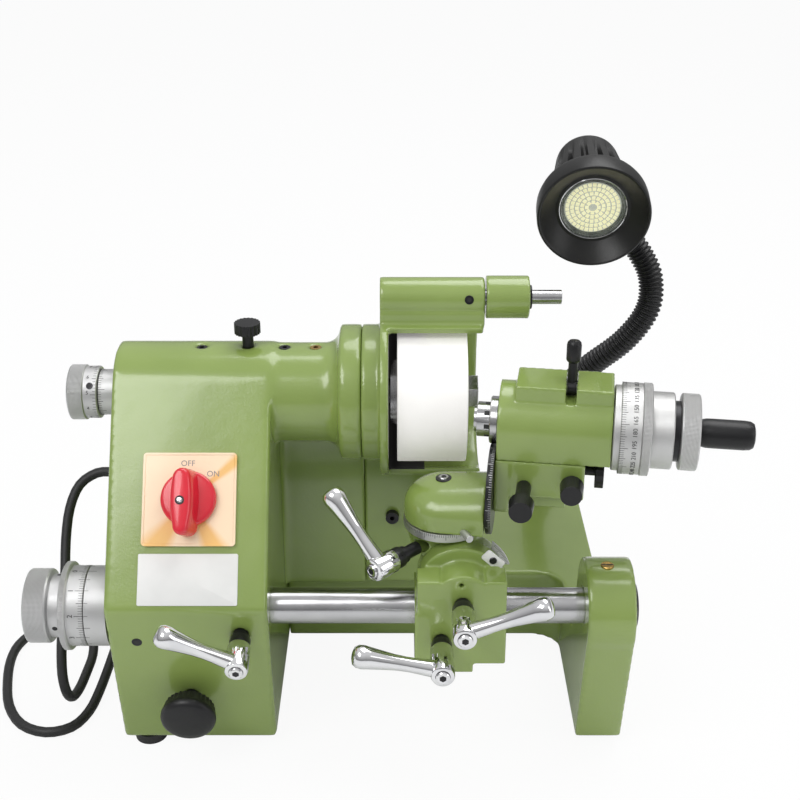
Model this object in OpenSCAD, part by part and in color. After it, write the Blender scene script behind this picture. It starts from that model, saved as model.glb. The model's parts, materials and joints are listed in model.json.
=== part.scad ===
// Bench tool and cutter grinder. A cast bed and a leaning column carry a belt-driven wheel spindle.
// A round slide bar carries the indexing workhead, with tilt, swivel and relief settings below it.
// X runs along the spindle, Y runs away from the operator, and Z is up from the table.

/* [Castings] */
// Width of the left column
column_w = 111; // [104:1:118]
// Height of the crease where the column's panel meets its chin
crease_z = 133; // [128:1:138]
// How far the chin sets back from the crease to its bottom edge
chin_setback = 24; // [14:1:30]
// Height of the top face of the bed
bed_top_z = 68; // [60:1:72]
// Length of the bed to the right of the column
bed_l = 247; // [240:1:254]
// Depth of the bed from front to back
bed_d = 163; // [155:1:175]
// Distance from the crease plane back to the front of the bed
bed_front_y = 152; // [146:1:156]
// Thickness of the right-hand bar bracket
bracket_w = 33; // [26:1:36]
// Radius of the bracket round the bar
bracket_r = 34; // [26:1:38]
// Height of the rubber feet
foot_h = 8; // [5:1:12]

/* [Wheel spindle] */
// Distance from the crease plane back to the spindle axis
spindle_y = 121; // [118:1:126]
// Height of the spindle axis
spindle_z = 241; // [236:1:248]
// Radius of the spindle housing
housing_r = 37; // [34:1:40]
// Radius of the sliding quill
quill_r = 24; // [22:1:27]
// Radius of the spindle shaft in its bearings
shaft_r = 10; // [8:0.5:11]
// Radius of the grinding wheel
wheel_r = 50; // [46:1:52]
// Width of the grinding wheel
wheel_w = 49; // [40:1:52]
// Inner radius of the wheel guard
guard_r = 55; // [54:1:58]
// Wall of the wheel guard
guard_wall = 5; // [4:0.5:6]
// Radius of the housing flange and the guard flange
flange_r = 49; // [48:1:54]
// Radius of the dresser boss on top of the guard
dresser_boss_r = 14; // [12:0.5:16]
// Radius of the dresser shaft
dresser_shaft_r = 5; // [4:0.5:6]

/* [Drive] */
// Distance from the crease plane back to the motor axis
motor_y = 236; // [230:1:242]
// Height of the motor axis
motor_z = 150; // [146:1:156]
// Radius of the motor frame
motor_r = 48; // [42:1:52]
// Length of the motor frame
motor_l = 105; // [90:1:110]
// Radius of the pulley on the motor
motor_pulley_r = 32.5; // [28:0.5:34]
// Radius of the pulley on the spindle
spindle_pulley_r = 17.5; // [16:0.5:20]
// Width of the drive belt
belt_w = 12; // [8:1:14]

/* [Slide bar] */
// Radius of the slide bar
bar_r = 12.5; // [11:0.5:14]
// Distance from the crease plane back to the bar axis
bar_y = 32; // [30:1:36]
// Height of the bar axis
bar_z = 117; // [114:1:120]
// Radius of the feed dial's grip ring
feed_grip_r = 26; // [22:1:28]
// Radius of the feed dial's flange
feed_flange_r = 31; // [29:1:33]

/* [Workhead] */
// Turn of the workhead about the swivel axis in the rest setting
head_yaw = 8.5; // [6:0.5:10]
// Distance of the swivel axis from the spindle housing's zero plane
swivel_x = 31; // [28:1:34]
// Distance from the crease plane back to the swivel axis
swivel_y = 50; // [48:1:54]
// Radius of the swivel scale ring
swivel_r = 28.5; // [26:0.5:29]
// Height of the relief axis
relief_z = 203; // [201:1:206]
// Radius of the relief scale disc
relief_r = 31; // [28:0.5:32]
// Height of the workhead axis
head_z = 246; // [244:1:250]
// Distance of the workhead axis behind the swivel axis
head_y = 19.5; // [17:0.5:22]
// Radius of the workhead body
head_r = 28; // [26:0.5:29]
// Radius of the index ring
index_r = 31; // [30:0.5:33]
// Radius of the collet's bore
collet_bore_r = 5; // [2:0.5:6]
// Radius of the drawbar handle
handle_r = 10; // [8:0.5:12]

/* [Controls] */
// Side of the square switch plate
switch_plate_s = 64; // [56:1:70]
// Radius of the switch knob
switch_knob_r = 19; // [16:0.5:22]
// Radius of the infeed knob
infeed_knob_r = 19.5; // [16:0.5:22]
// Length of a clamp lever from its hub axis to the centre of its ball
lever_l = 54; // [46:1:60]
// Radius of a clamp lever's hub
lever_hub_r = 8; // [7:0.5:9]
// Radius of a clamp lever's ball
lever_ball_r = 8; // [7:0.5:9]

/* [Lamp] */
// Radius of the gooseneck over its ribs
neck_r = 10; // [8:0.5:11]
// Number of ribs along the gooseneck
neck_ribs = 84; // [40:1:90]
// Radius of the lamp shade at its rim
shade_r = 41; // [36:1:44]
// Radius of the lamp lens
lens_r = 24; // [20:1:28]

/* [Mains lead] */
// Diameter of the mains lead
cord_d = 7.5; // [6:0.5:8]

/* [Hidden] */
$fn = 48;

// Paints
paint_green = [0.47, 0.60, 0.29];
bare_steel = [0.78, 0.79, 0.80];
satin_aluminium = [0.72, 0.72, 0.70];
black_plastic = [0.08, 0.08, 0.09];

// Clearances and overruns
over = 1;
run_clear = 0.04;
part_gap = 0.35;
seat_gap = 0.3;

// Column, with its right wall as the datum of the bed
column_left_x = -201;
column_right_x = column_left_x + column_w;
crease_y = 0;
casting_z = foot_h;
chin_angle = atan2(chin_setback, crease_z - casting_z);
spindle_c = [spindle_y, spindle_z];
motor_c = [motor_y, motor_z];
belt_case_r = 46;
crease_to_spindle = spindle_c - [crease_y, crease_z];
panel_len = sqrt(pow(norm(crease_to_spindle), 2) - pow(housing_r, 2));
panel_rise = atan2(crease_to_spindle[1], crease_to_spindle[0]) + asin(housing_r / norm(crease_to_spindle));
panel_lean = 90 - panel_rise;
belt_slot_w = 30;
belt_slot_in = 45;
belt_slot_x = column_left_x + belt_slot_in;
belt_room = 5;
rear_cover_t = 4;

// Bed and bracket
bed_right_x = column_right_x + bed_l;
bed_back_y = bed_front_y + bed_d;
bed_corner_r = 16;
bracket_proud = 4;
bracket_right_x = bed_right_x + bracket_proud;
bracket_x = bracket_right_x - bracket_w;
bracket_foot_y = chin_setback;
arm_fillet_r = 20;
foot_r = 13;
foot_inset = 17;
end_cap_r = 17;
end_cap_t = 4;

// Housing and pedestal
flange_w = 16;
flange_x = -27;
housing_fillet_r = 10;
pedestal_back = 16;
pedestal_front_y = spindle_y + pedestal_back;
pedestal_d = 42;
guard_x = flange_x;
guard_flange_w = 19;
guard_left_x = guard_x + guard_flange_w;
guard_right_x = 58;
guard_lip_front = 19;
guard_lip_under = 25;
skirt_back = 18;
skirt_front_y = spindle_y + skirt_back;
skirt_d = 14;
skirt_right_x = 46;

// Spindle stack along X
wheel_x = -2;
wheel_right_x = wheel_x + wheel_w;
quill_in = 22;
quill_left_x = column_right_x - quill_in;
quill_nose_in = 8;
quill_right_x = guard_left_x - quill_nose_in;
bearing_w = 12;
wheel_flange_r = 23.5;
wheel_flange_t = 5;
nut_r = 13;
nut_h = 9;
shaft_in = 24;
shaft_left_x = column_left_x + shaft_in;
pulley_x = belt_slot_x + (belt_slot_w - belt_w) / 2;
pulley_rim = 3;
dial_clear = 0.5;

// Dials: the quill dial above and the feed dial below
dial_wall_gap = 4;
quill_sleeve_l = 14;
quill_sleeve_r = 16.5;
quill_dial_r = 20;
quill_dial_l = 22;
feed_sleeve_l = 15;
feed_sleeve_r = 28;
feed_scale_l = 12;
feed_flange_l = 5;
feed_neck_l = 9;
feed_neck_r = 22;
feed_grip_l = 17;
feed_screw_r = 6;
feed_nut_l = 24;
feed_nut_wall_l = 6;
bar_in = 60;
bar_left_x = column_right_x - bar_in;
bar_travel = 2.5;

// Carriage, in front view an arch over the bar
carriage_x = 10;
carriage_w = 62;
tilt_x = 42;
tilt_rise = 24;
tilt_z = bar_z + tilt_rise;
carriage_fore = 36;
carriage_front_y = bar_y - carriage_fore;
carriage_step = 14;
carriage_step_y = bar_y - carriage_step;
carriage_aft = 26;
carriage_back_y = bar_y + carriage_aft;
carriage_below = 31;
carriage_bottom_z = bar_z - carriage_below;
carriage_boss_r = 22;
ring_z = 174;
arch_clear = 2;
arch_r = ring_z - tilt_z - arch_clear;
arch_back_y = bar_y - over;
tilt_stud_r = 5;
tilt_plate_t = 11;
lock_lever_x = 28;
lock_lever_drop = 5;
lock_lever_z = bar_z - lock_lever_drop;

// Swivel stack from the tilt plate up to the dome
ring_h = 6;
tilt_base_r = swivel_r - over;
tilt_base_rise = 17;
tilt_base_z = tilt_z + tilt_base_rise;
dome_r = 34;
dome_base_z = ring_z + ring_h + part_gap;
swivel_pin_r = 7;
dome_flange_w = 12;
dome_flange_x = swivel_r + over;
relief_disc_t = 4;
relief_pin_r = 6;
swivel_lever_az = 225;
swivel_lever_drop = 9;
swivel_lever_z = ring_z - swivel_lever_drop;

// Workhead along its own axis
carrier_x = dome_flange_x + relief_disc_t + 2 * part_gap;
carrier_w = 10;
body_l = 76;
slide_drop = 17;
slide_z = head_z - slide_drop;
slide_h = 26;
slide_short = 16;
slide_l = body_l - slide_short;
slide_front_y = head_y - head_r;
slide_d = 42;
body_x = carrier_x + part_gap;
head_bore_r = 14.5;
pawl_slot_w = 7;
head_step_l = 11;
nose_l = 15;
nose_r = 12;
nose_flange_r = 15;
nose_flange_t = 4;
nose_neck_r = 13;
nose_neck_l = 8;
thrust_t = 5;
index_l = 13.5;
grip_l = 6.5;
sleeve_l = 15;
sleeve_r = 26;
nut_gap = 4;
nut_l = 13;
handle_l = 37;
drawbar_r = 7;
collet_l = 30;

// Knobs on the workhead
clamp_stem_r = 5;
clamp_stem_l = 24;
clamp_head_r = 8.5;
clamp_head_l = 12;
gib_knob_r = 8;
gib_knob_l = 14;
feed_wheel_r = 12;
feed_wheel_t = 6;
feed_wheel_stem_r = 3.5;
feed_wheel_stem_l = 12;

// Clamp levers
tilt_hub_l = 40;
lever_screw_share = 0.6;
lever_screw_h = 2;
lever_rise = 8;
lever_root_r = 6.5;
lever_tip_r = 5;

// Lamp
lamp_base_r = 20;
lamp_base_h = 12;
lamp_socket_h = 10;
lamp_socket_wall = 3;
lamp_inset = [37, 30];
lamp_x = bed_right_x - lamp_inset[0];
lamp_y = bed_back_y - lamp_inset[1];
lamp_foot = [lamp_x, lamp_y, bed_top_z];
shade_len = 34;
shade_back_r = 30;
heatsink_len = 48;
fin_count = 24;
fin_w = 3;
fin_h = 3;
shade_wall = 3;
lens_t = 3;
lamp_face_at = [19, -120, 290];
lamp_tail_at = [23, -38, 309];
lamp_face = lamp_foot + lamp_face_at;
lamp_tail = lamp_foot + lamp_tail_at;

// Where the origin goes: below the middle of the machine's footprint
dial_left_x = column_left_x - feed_sleeve_l - feed_scale_l - feed_flange_l - feed_neck_l - feed_grip_l;
handle_end = carrier_x + body_l + thrust_t + index_l + grip_l + sleeve_l + nut_gap + nut_l + handle_l;
handle_end_x = swivel_x + handle_end * cos(head_yaw) + head_y * sin(head_yaw);
lever_reach_y = carriage_front_y - tilt_hub_l + lever_hub_r - lever_l * sin(lever_rise) - lever_ball_r;
machine_x = (dial_left_x + handle_end_x) / 2;
machine_y = (lever_reach_y + bed_back_y) / 2;

module machine() translate([-machine_x, -machine_y, 0]) children();

// The workhead's own frame: the swivel axis is its Z axis and the work axis runs along X
module head() machine() translate([swivel_x, swivel_y, 0]) rotate([0, 0, -head_yaw]) children();

// A frame on the leaning panel: X across, Y up the panel from the crease, Z straight out of it
module panel() machine() translate([0, crease_y, crease_z]) rotate([90 - panel_lean, 0, 0]) children();

// A frame on the chin: X across, Y up towards the crease, Z straight out of it
module chin() machine() translate([0, crease_y, crease_z]) rotate([90 + chin_angle, 0, 0]) children();

// A round bar along X from x0 to x1
module rod_x(x0, x1, y, z, r) translate([x0, y, z]) rotate([0, 90, 0]) cylinder(r = r, h = x1 - x0);

// A round bar along Y from y0 to y1
module rod_y(x, y0, y1, z, r) translate([x, y0, z]) rotate([-90, 0, 0]) cylinder(r = r, h = y1 - y0);

// A revolved shape about an X axis: profile points are [distance along X, radius]
module turned_x(x, y, z, profile)
    translate([x, y, z]) rotate([0, 90, 0]) rotate_extrude() polygon([for (p = profile) [p[1], p[0]]]);

// A block from one corner to the opposite one
module block(low, high) translate(low) cube(high - low);

// A side outline in Y and Z pushed along X from x0 to x1
module side_outline(x0, x1)
    translate([x0, 0, 0]) rotate([90, 0, 90]) linear_extrude(x1 - x0) children();

// The flat shape of a belt round two wheels of radius ra and rb
module belt_outline(ra, rb) {
    span = motor_c - spindle_c;
    heading = atan2(span[1], span[0]);
    opening = acos((ra - rb) / norm(span));
    upper = heading + opening;
    lower = heading - opening;
    translate(spindle_c) circle(ra);
    translate(motor_c) circle(rb);
    polygon([
        spindle_c + ra * [cos(upper), sin(upper)],
        spindle_c + ra * [cos(lower), sin(lower)],
        motor_c + rb * [cos(lower), sin(lower)],
        motor_c + rb * [cos(upper), sin(upper)]
    ]);
}

// A clamp lever: hub along Z, tapered arm rising to a ball, at a given turn
module clamp_lever(hub_l, turn) {
    arm_z = hub_l - lever_hub_r;
    cylinder(r = lever_hub_r, h = hub_l);
    translate([0, 0, hub_l]) cylinder(r = lever_hub_r * lever_screw_share, h = lever_screw_h);
    rotate([0, 0, turn]) translate([0, 0, arm_z]) rotate([0, 90 - lever_rise, 0]) {
        cylinder(r1 = lever_root_r, r2 = lever_tip_r, h = lever_l);
        translate([0, 0, lever_l]) sphere(lever_ball_r);
    }
}

// A knurled grip: a drum along Z with flutes round its rim
module fluted_drum(r, h, flutes, flute_depth) linear_extrude(h) polygon([
    for (i = [0:2 * flutes - 1]) (i % 2 == 0 ? r : r - flute_depth) * [cos(i * 180 / flutes), sin(i * 180 / flutes)]
]);

// The outline of a ring of square fins
module fin_ring(root_r, tip_r, fins) polygon([
    for (i = [0:fins - 1], corner = [[-1, 0], [-0.5, 1], [0.5, 1], [1, 0]])
        let (a = (i + corner[0] / 4) * 360 / fins) (corner[1] == 0 ? root_r : tip_r) * [cos(a), sin(a)]
]);

// Castings

module bed_outline() {
    difference() {
        union() {
            translate([column_right_x, bed_front_y]) square([bed_l, bed_d]);
            translate([bracket_x, bar_y]) square([bracket_w, bed_front_y - bar_y + bed_corner_r]);
            translate([bracket_x - arm_fillet_r, bed_front_y - arm_fillet_r]) square(arm_fillet_r);
        }
        translate([bracket_x - arm_fillet_r, bed_front_y - arm_fillet_r]) circle(arm_fillet_r);
        translate([bed_right_x - bed_corner_r, bed_back_y - bed_corner_r]) difference() {
            square(bed_corner_r + over);
            circle(bed_corner_r);
        }
    }
}

module bracket_outline() {
    translate([bar_y, bar_z]) circle(bracket_r);
    polygon([
        [bar_y - bracket_r, bar_z],
        [bracket_foot_y, casting_z],
        [bed_front_y, casting_z],
        [bed_front_y, bed_top_z],
        [bar_y + bracket_r + bracket_sweep, bed_top_z],
        [bar_y + bracket_r, bar_z]
    ]);
}
bracket_sweep = 12;

module bed_casting() color(paint_green) machine() difference() {
    union() {
        translate([0, 0, casting_z]) linear_extrude(bed_top_z - casting_z) bed_outline();
        side_outline(bracket_x, bracket_right_x) bracket_outline();
    }
    rod_x(bracket_x - over, bracket_right_x + over, bar_y, bar_z, bar_r + run_clear);
    translate([lamp_x, lamp_y, bed_top_z - lamp_spigot_l]) cylinder(r = lamp_spigot_r + run_clear, h = bed_top_z);
}
lamp_spigot_l = 14;
lamp_spigot_r = 7;

// Points on an arc about c, from one angle round to another
function arc(c, r, from, to) = [for (k = [0:arc_steps]) let (a = from + (to - from) * k / arc_steps) c + r * [cos(a), sin(a)]];
arc_steps = 16;

// The column in side view: chin, leaning panel, round top, sloping back and upright rear wall
module column_outline() {
    span = motor_c - spindle_c;
    slope = atan2(span[1], span[0]) + acos((housing_r - belt_case_r) / norm(span));
    polygon(concat(
        [[motor_y + belt_case_r, casting_z], [crease_y + chin_setback, casting_z], [crease_y, crease_z]],
        arc(spindle_c, housing_r, 90 + panel_rise, slope),
        arc(motor_c, belt_case_r, slope, 0)
    ));
}

module column_block() side_outline(column_left_x, column_right_x) column_outline();

module housing() {
    barrel_r = housing_r - over;
    flange_back = flange_x - flange_w;
    turned_x(column_right_x - over, spindle_y, spindle_z, [
        [0, 0],
        [0, barrel_r],
        for (a = [0:15:90]) [
            flange_back - column_right_x + over - housing_fillet_r * (1 - sin(a)),
            barrel_r + housing_fillet_r * (1 - cos(a))
        ],
        [flange_back - column_right_x + over, flange_r],
        [flange_x - column_right_x + over, flange_r],
        [flange_x - column_right_x + over, 0]
    ]);
    block([column_right_x - over, pedestal_front_y, bed_top_z],
        [flange_x, pedestal_front_y + pedestal_d, spindle_z]);
}

module column_casting() color(paint_green) machine() difference() {
    union() {
        column_block();
        housing();
    }
    side_outline(belt_slot_x, belt_slot_x + belt_slot_w)
        belt_outline(spindle_pulley_r + belt_t + belt_room, motor_pulley_r + belt_t + belt_room);
    block([belt_slot_x, motor_y, motor_z - belt_window_h / 2],
        [belt_slot_x + belt_slot_w, motor_y + belt_case_r + over, motor_z + belt_window_h / 2]);
    block([belt_slot_x - cover_lap, motor_y + belt_case_r - rear_cover_t, motor_z - belt_window_h / 2 - cover_lap],
        [belt_slot_x + belt_slot_w + cover_lap, motor_y + belt_case_r + over,
            motor_z + belt_window_h / 2 + cover_lap]);
    rod_x(belt_slot_x, flange_x + over, spindle_y, spindle_z, quill_r + run_clear);
    rod_x(column_left_x - over, belt_slot_x + over, spindle_y, spindle_z, quill_sleeve_r - dial_wall_gap);
    rod_x(belt_slot_x, column_right_x + over, motor_y, motor_z, motor_spigot_r + run_clear);
    rod_x(bar_left_x - feed_nut_l - bar_travel - over, column_right_x + over, bar_y, bar_z, bar_r + run_clear);
    rod_x(column_left_x - over, bar_left_x, bar_y, bar_z, feed_screw_r + dial_clear);
    panel_hole(switch_x, switch_s, switch_stem_r + dial_clear, switch_hole_l);
    chin_hole(infeed_x, infeed_s, infeed_stem_r + run_clear, infeed_hole_l);
    chin_hole(bar_lock_x, bar_lock_s, bar_lock_stem_r + run_clear, bar_lock_hole_l);
    for (x = top_hole_xs) translate([x, spindle_y, spindle_z + housing_r - top_hole_l])
        cylinder(r = top_hole_r, h = top_hole_l + over);
    translate([quill_lock_x, spindle_y, spindle_z + housing_r - quill_lock_l])
        cylinder(r = quill_lock_stem_r + run_clear, h = quill_lock_l + over);
}
belt_t = 4;
belt_window_h = 64;
cover_lap = 6;
motor_spigot_r = 26;
switch_x = -144;
switch_s = 76;
switch_stem_r = 4;
switch_hole_l = 30;
infeed_x = -148;
infeed_s = -83;
infeed_stem_r = 5;
infeed_hole_l = 26;
bar_lock_x = -109;
bar_lock_s = -22;
bar_lock_stem_r = 5;
bar_lock_hole_l = 14;
top_hole_xs = [-141, -82, -60];
top_hole_r = 4;
top_hole_l = 8;
quill_lock_x = -108;
quill_lock_l = 10;
quill_lock_stem_r = 4;

module panel_hole(x, s, r, depth)
    translate([0, crease_y, crease_z]) rotate([90 - panel_lean, 0, 0]) translate([x, s, -depth])
        cylinder(r = r, h = depth + over);

module chin_hole(x, s, r, depth)
    translate([0, crease_y, crease_z]) rotate([90 + chin_angle, 0, 0]) translate([x, s, -depth])
        cylinder(r = r, h = depth + over);

module rear_cover() color(paint_green) machine() block(
    [belt_slot_x - cover_lap + seat_gap, motor_y + belt_case_r - rear_cover_t,
        motor_z - belt_window_h / 2 - cover_lap + seat_gap],
    [belt_slot_x + belt_slot_w + cover_lap - seat_gap, motor_y + belt_case_r,
        motor_z + belt_window_h / 2 + cover_lap - seat_gap]);

foot_places = [
    [column_left_x + foot_inset, crease_y + chin_setback + foot_r],
    [column_left_x + foot_inset, motor_y + belt_case_r - foot_inset],
    [bracket_right_x - foot_inset, bar_y + foot_r + foot_inset],
    [bed_right_x - foot_inset, bed_back_y - foot_inset]
];

module rubber_feet() color(black_plastic) machine() for (p = foot_places)
    translate([p[0], p[1], 0]) cylinder(r1 = foot_r - foot_taper, r2 = foot_r, h = foot_h);
foot_taper = 1.5;

// Drive

motor_x = column_right_x;
motor_shaft_r = 8;

module motor_body() color(black_plastic) machine() difference() {
    union() {
        rod_x(motor_x + seat_gap, motor_x + motor_l, motor_y, motor_z, motor_r);
        rod_x(motor_x - motor_spigot_l, motor_x + motor_l, motor_y, motor_z, motor_spigot_r - run_clear);
        translate([motor_x + motor_end_w, motor_y, motor_z]) rotate([0, 90, 0])
            linear_extrude(motor_l - 2 * motor_end_w) fin_ring(motor_r - over, motor_r + motor_fin_h, motor_fins);
        block([motor_x + motor_end_w, motor_y - motor_r * motor_saddle_share, bed_top_z],
            [motor_x + motor_l - motor_end_w, motor_y + motor_r * motor_saddle_share, motor_z]);
    }
    rod_x(motor_x - motor_spigot_l - over, motor_x + motor_bore_l, motor_y, motor_z, motor_shaft_r + run_clear);
}
motor_spigot_l = 12;
motor_fins = 20;
motor_fin_h = 4;
motor_end_w = 14;
motor_saddle_share = 0.7;
motor_bore_l = 70;

module pulley(x, y, z, r) {
    rod_x(x - part_gap, x + belt_w + part_gap, y, z, r - belt_seat);
    rod_x(x - part_gap - pulley_rim, x - part_gap, y, z, r + pulley_rim);
    rod_x(x + belt_w + part_gap, x + belt_w + part_gap + pulley_rim, y, z, r + pulley_rim);
}
belt_seat = 0.3;
quill_travel = 1.25;

module motor_rotor() color(bare_steel) machine() {
    rod_x(pulley_x - pulley_rim - over, motor_x + motor_bore_l - over, motor_y, motor_z, motor_shaft_r);
    pulley(pulley_x, motor_y, motor_z, motor_pulley_r);
}

module drive_belt() color(black_plastic) machine()
    side_outline(pulley_x + quill_travel, pulley_x + belt_w - quill_travel) difference() {
        belt_outline(spindle_pulley_r + belt_t, motor_pulley_r + belt_t);
        belt_outline(spindle_pulley_r, motor_pulley_r);
    }

// Wheel spindle

module quill_sleeve() color(bare_steel) machine() difference() {
    rod_x(quill_left_x, quill_right_x, spindle_y, spindle_z, quill_r);
    rod_x(quill_left_x - over, quill_right_x + over, spindle_y, spindle_z, shaft_r + quill_bore_clear);
    for (x = [quill_left_x - over, quill_right_x - bearing_w])
        rod_x(x, x + bearing_w + over, spindle_y, spindle_z, bearing_r);
}
quill_bore_clear = 3;
bearing_r = 19;

module spindle_bearings() color(bare_steel) machine()
    for (x = [quill_left_x, quill_right_x - bearing_w]) difference() {
        rod_x(x, x + bearing_w, spindle_y, spindle_z, bearing_r);
        rod_x(x - over, x + bearing_w + over, spindle_y, spindle_z, shaft_r + run_clear);
    }

module spindle_shaft() color(bare_steel) machine() {
    rod_x(shaft_left_x, wheel_right_x + nut_h, spindle_y, spindle_z, shaft_r);
    pulley(pulley_x, spindle_y, spindle_z, spindle_pulley_r);
}

module wheel_flanges() color(bare_steel) machine()
    for (x = [wheel_x - wheel_flange_t, wheel_right_x - wheel_flange_t]) difference() {
        rod_x(x, x + wheel_flange_t, spindle_y, spindle_z, wheel_flange_r);
        rod_x(x - over, x + wheel_flange_t + over, spindle_y, spindle_z, shaft_r);
    }

module wheel_nut() color(bare_steel) machine() difference() {
    translate([wheel_right_x, spindle_y, spindle_z]) rotate([0, 90, 0]) cylinder(r = nut_r, h = nut_h, $fn = 6);
    rod_x(wheel_right_x - over, wheel_right_x + nut_h + over, spindle_y, spindle_z, shaft_r);
}

module grinding_wheel() color("white") machine() difference() {
    rod_x(wheel_x, wheel_right_x, spindle_y, spindle_z, wheel_r);
    rod_x(wheel_x - over, wheel_right_x + over, spindle_y, spindle_z, shaft_r);
    rod_x(wheel_right_x - wheel_flange_t, wheel_right_x + over, spindle_y, spindle_z, wheel_flange_r);
}

// Guard, open towards the operator

module guard_mouth() {
    reach = 2 * (guard_r + guard_wall);
    polygon([
        [0, 0],
        reach * [-sin(guard_lip_front), cos(guard_lip_front)],
        [-reach, reach],
        [-reach, -reach],
        reach * [-sin(guard_lip_under), -cos(guard_lip_under)]
    ]);
}

module wheel_guard() color(paint_green) machine() difference() {
    union() {
        rod_x(guard_x, guard_left_x - over, spindle_y, spindle_z, flange_r);
        rod_x(guard_left_x - guard_cheek_t, guard_right_x, spindle_y, spindle_z, guard_r + guard_wall);
        rod_x(dresser_left_x, dresser_right_x, spindle_y, dresser_z, dresser_boss_r);
        block([dresser_left_x, spindle_y - dresser_boss_r, spindle_z + guard_r + over],
            [dresser_right_x, spindle_y + dresser_boss_r, dresser_z - dresser_boss_r / 2]);
        block([guard_x, skirt_front_y, bed_top_z], [skirt_right_x, skirt_front_y + skirt_d,
            spindle_z - guard_r]);
    }
    rod_x(guard_x - over, guard_left_x + over, spindle_y, spindle_z, quill_r + run_clear);
    rod_x(guard_left_x, guard_right_x + over, spindle_y, spindle_z, guard_r);
    side_outline(guard_left_x, guard_right_x + over) translate(spindle_c) guard_mouth();
    rod_x(dresser_left_x - over, dresser_right_x + over, spindle_y, dresser_z, dresser_shaft_r + run_clear);
    block([dresser_slot_x, spindle_y - dresser_slot_w / 2, spindle_z],
        [dresser_right_x + over, spindle_y + dresser_slot_w / 2, dresser_z]);
    translate([guard_screw_x, skirt_front_y - over, guard_screw_z]) rotate([-90, 0, 0])
        cylinder(r = guard_screw_r, h = guard_screw_l + over);
}
guard_cheek_t = 6;
dresser_left_x = -14;
dresser_right_x = 59;
dresser_z = spindle_z + guard_r + guard_wall + dresser_boss_r - over;
dresser_slot_x = -5;
dresser_slot_w = 11;
guard_screw_x = -6;
guard_screw_z = 128;
guard_screw_r = 3;
guard_screw_l = 10;

module guard_screws() color(black_plastic) machine()
    translate([guard_screw_x, skirt_front_y + guard_screw_l, guard_screw_z]) rotate([90, 0, 0]) difference() {
        union() {
            cylinder(r = guard_screw_r, h = guard_screw_l);
            translate([0, 0, guard_screw_l]) cylinder(r = guard_screw_head_r, h = guard_screw_head_h);
        }
        translate([0, 0, guard_screw_l + over]) cylinder(r = guard_screw_r - over, h = guard_screw_head_h, $fn = 6);
    }
guard_screw_head_r = 5;
guard_screw_head_h = 5;

// Dresser, sliding in the boss on the guard

dresser_tail_l = 23;
dresser_head_l = 30;
dresser_head_r = 15;
dresser_x = dresser_right_x + over;

module dresser_shaft() color(bare_steel) machine()
    rod_x(dresser_left_x + over, dresser_x + dresser_head_l + dresser_tail_l,
        spindle_y, dresser_z, dresser_shaft_r);

module dresser_head() color(paint_green) machine() difference() {
    rod_x(dresser_x, dresser_x + dresser_head_l, spindle_y, dresser_z, dresser_head_r);
    rod_x(dresser_x - over, dresser_x + dresser_head_l + over, spindle_y, dresser_z, dresser_shaft_r);
}

module dresser_diamond() color(bare_steel) machine() difference() {
    translate([diamond_x, spindle_y, spindle_z + wheel_r + diamond_clear]) {
        cylinder(r1 = diamond_tip_r, r2 = diamond_r, h = diamond_tip_l);
        translate([0, 0, diamond_tip_l])
            cylinder(r = diamond_r, h = dresser_z - spindle_z - wheel_r - diamond_clear - diamond_tip_l);
    }
    rod_x(dresser_left_x, dresser_right_x, spindle_y, dresser_z, dresser_shaft_r);
}
diamond_x = 2;
diamond_clear = 1.5;
diamond_tip_r = 1;
diamond_tip_l = 6;
diamond_r = 4;

// Quill dial, lock screw and top screws

module quill_index_sleeve() color(satin_aluminium) machine() difference() {
    rod_x(column_left_x - quill_sleeve_l, column_left_x, spindle_y, spindle_z, quill_sleeve_r);
    rod_x(column_left_x - quill_sleeve_l - over, column_left_x + over, spindle_y, spindle_z,
        feed_screw_r + run_clear);
}

module quill_dial() color(satin_aluminium) machine() {
    dial_x = column_left_x - quill_sleeve_l - part_gap;
    translate([dial_x - quill_dial_l, spindle_y, spindle_z]) rotate([0, 90, 0])
        fluted_drum(quill_dial_r, quill_dial_l, dial_flutes, dial_flute_r);
    rod_x(dial_x - over, shaft_left_x - quill_travel - part_gap, spindle_y, spindle_z, feed_screw_r);
}
dial_flutes = 48;
dial_flute_r = 0.8;

module quill_lock_screw() color(black_plastic) machine()
    translate([quill_lock_x, spindle_y, spindle_z + housing_r]) {
        translate([0, 0, -quill_lock_l + over]) cylinder(r = quill_lock_stem_r, h = quill_lock_l + quill_lock_rise);
        translate([0, 0, quill_lock_rise])
            fluted_drum(quill_lock_head_r, quill_lock_head_h, quill_lock_flutes, dial_flute_r);
    }
quill_lock_rise = 9;
quill_lock_head_r = 9.5;
quill_lock_head_h = 8;
quill_lock_flutes = 20;

module oil_screws() color("gold") machine() for (x = top_hole_xs)
    translate([x, spindle_y, spindle_z + housing_r - top_hole_l]) difference() {
        cylinder(r = top_hole_r - run_clear, h = top_hole_l - oil_screw_sink);
        translate([0, 0, top_hole_l - oil_screw_sink - oil_socket_l])
            cylinder(r = oil_socket_r, h = top_hole_l, $fn = 6);
    }
oil_screw_sink = 2;
oil_socket_l = 3;
oil_socket_r = 2;

// Feed dial and slide bar

module feed_index_sleeve() color(satin_aluminium) machine() difference() {
    rod_x(column_left_x - feed_sleeve_l, column_left_x, bar_y, bar_z, feed_sleeve_r);
    rod_x(column_left_x - feed_sleeve_l - over, column_left_x + over, bar_y, bar_z, feed_screw_r + run_clear);
}

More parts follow.
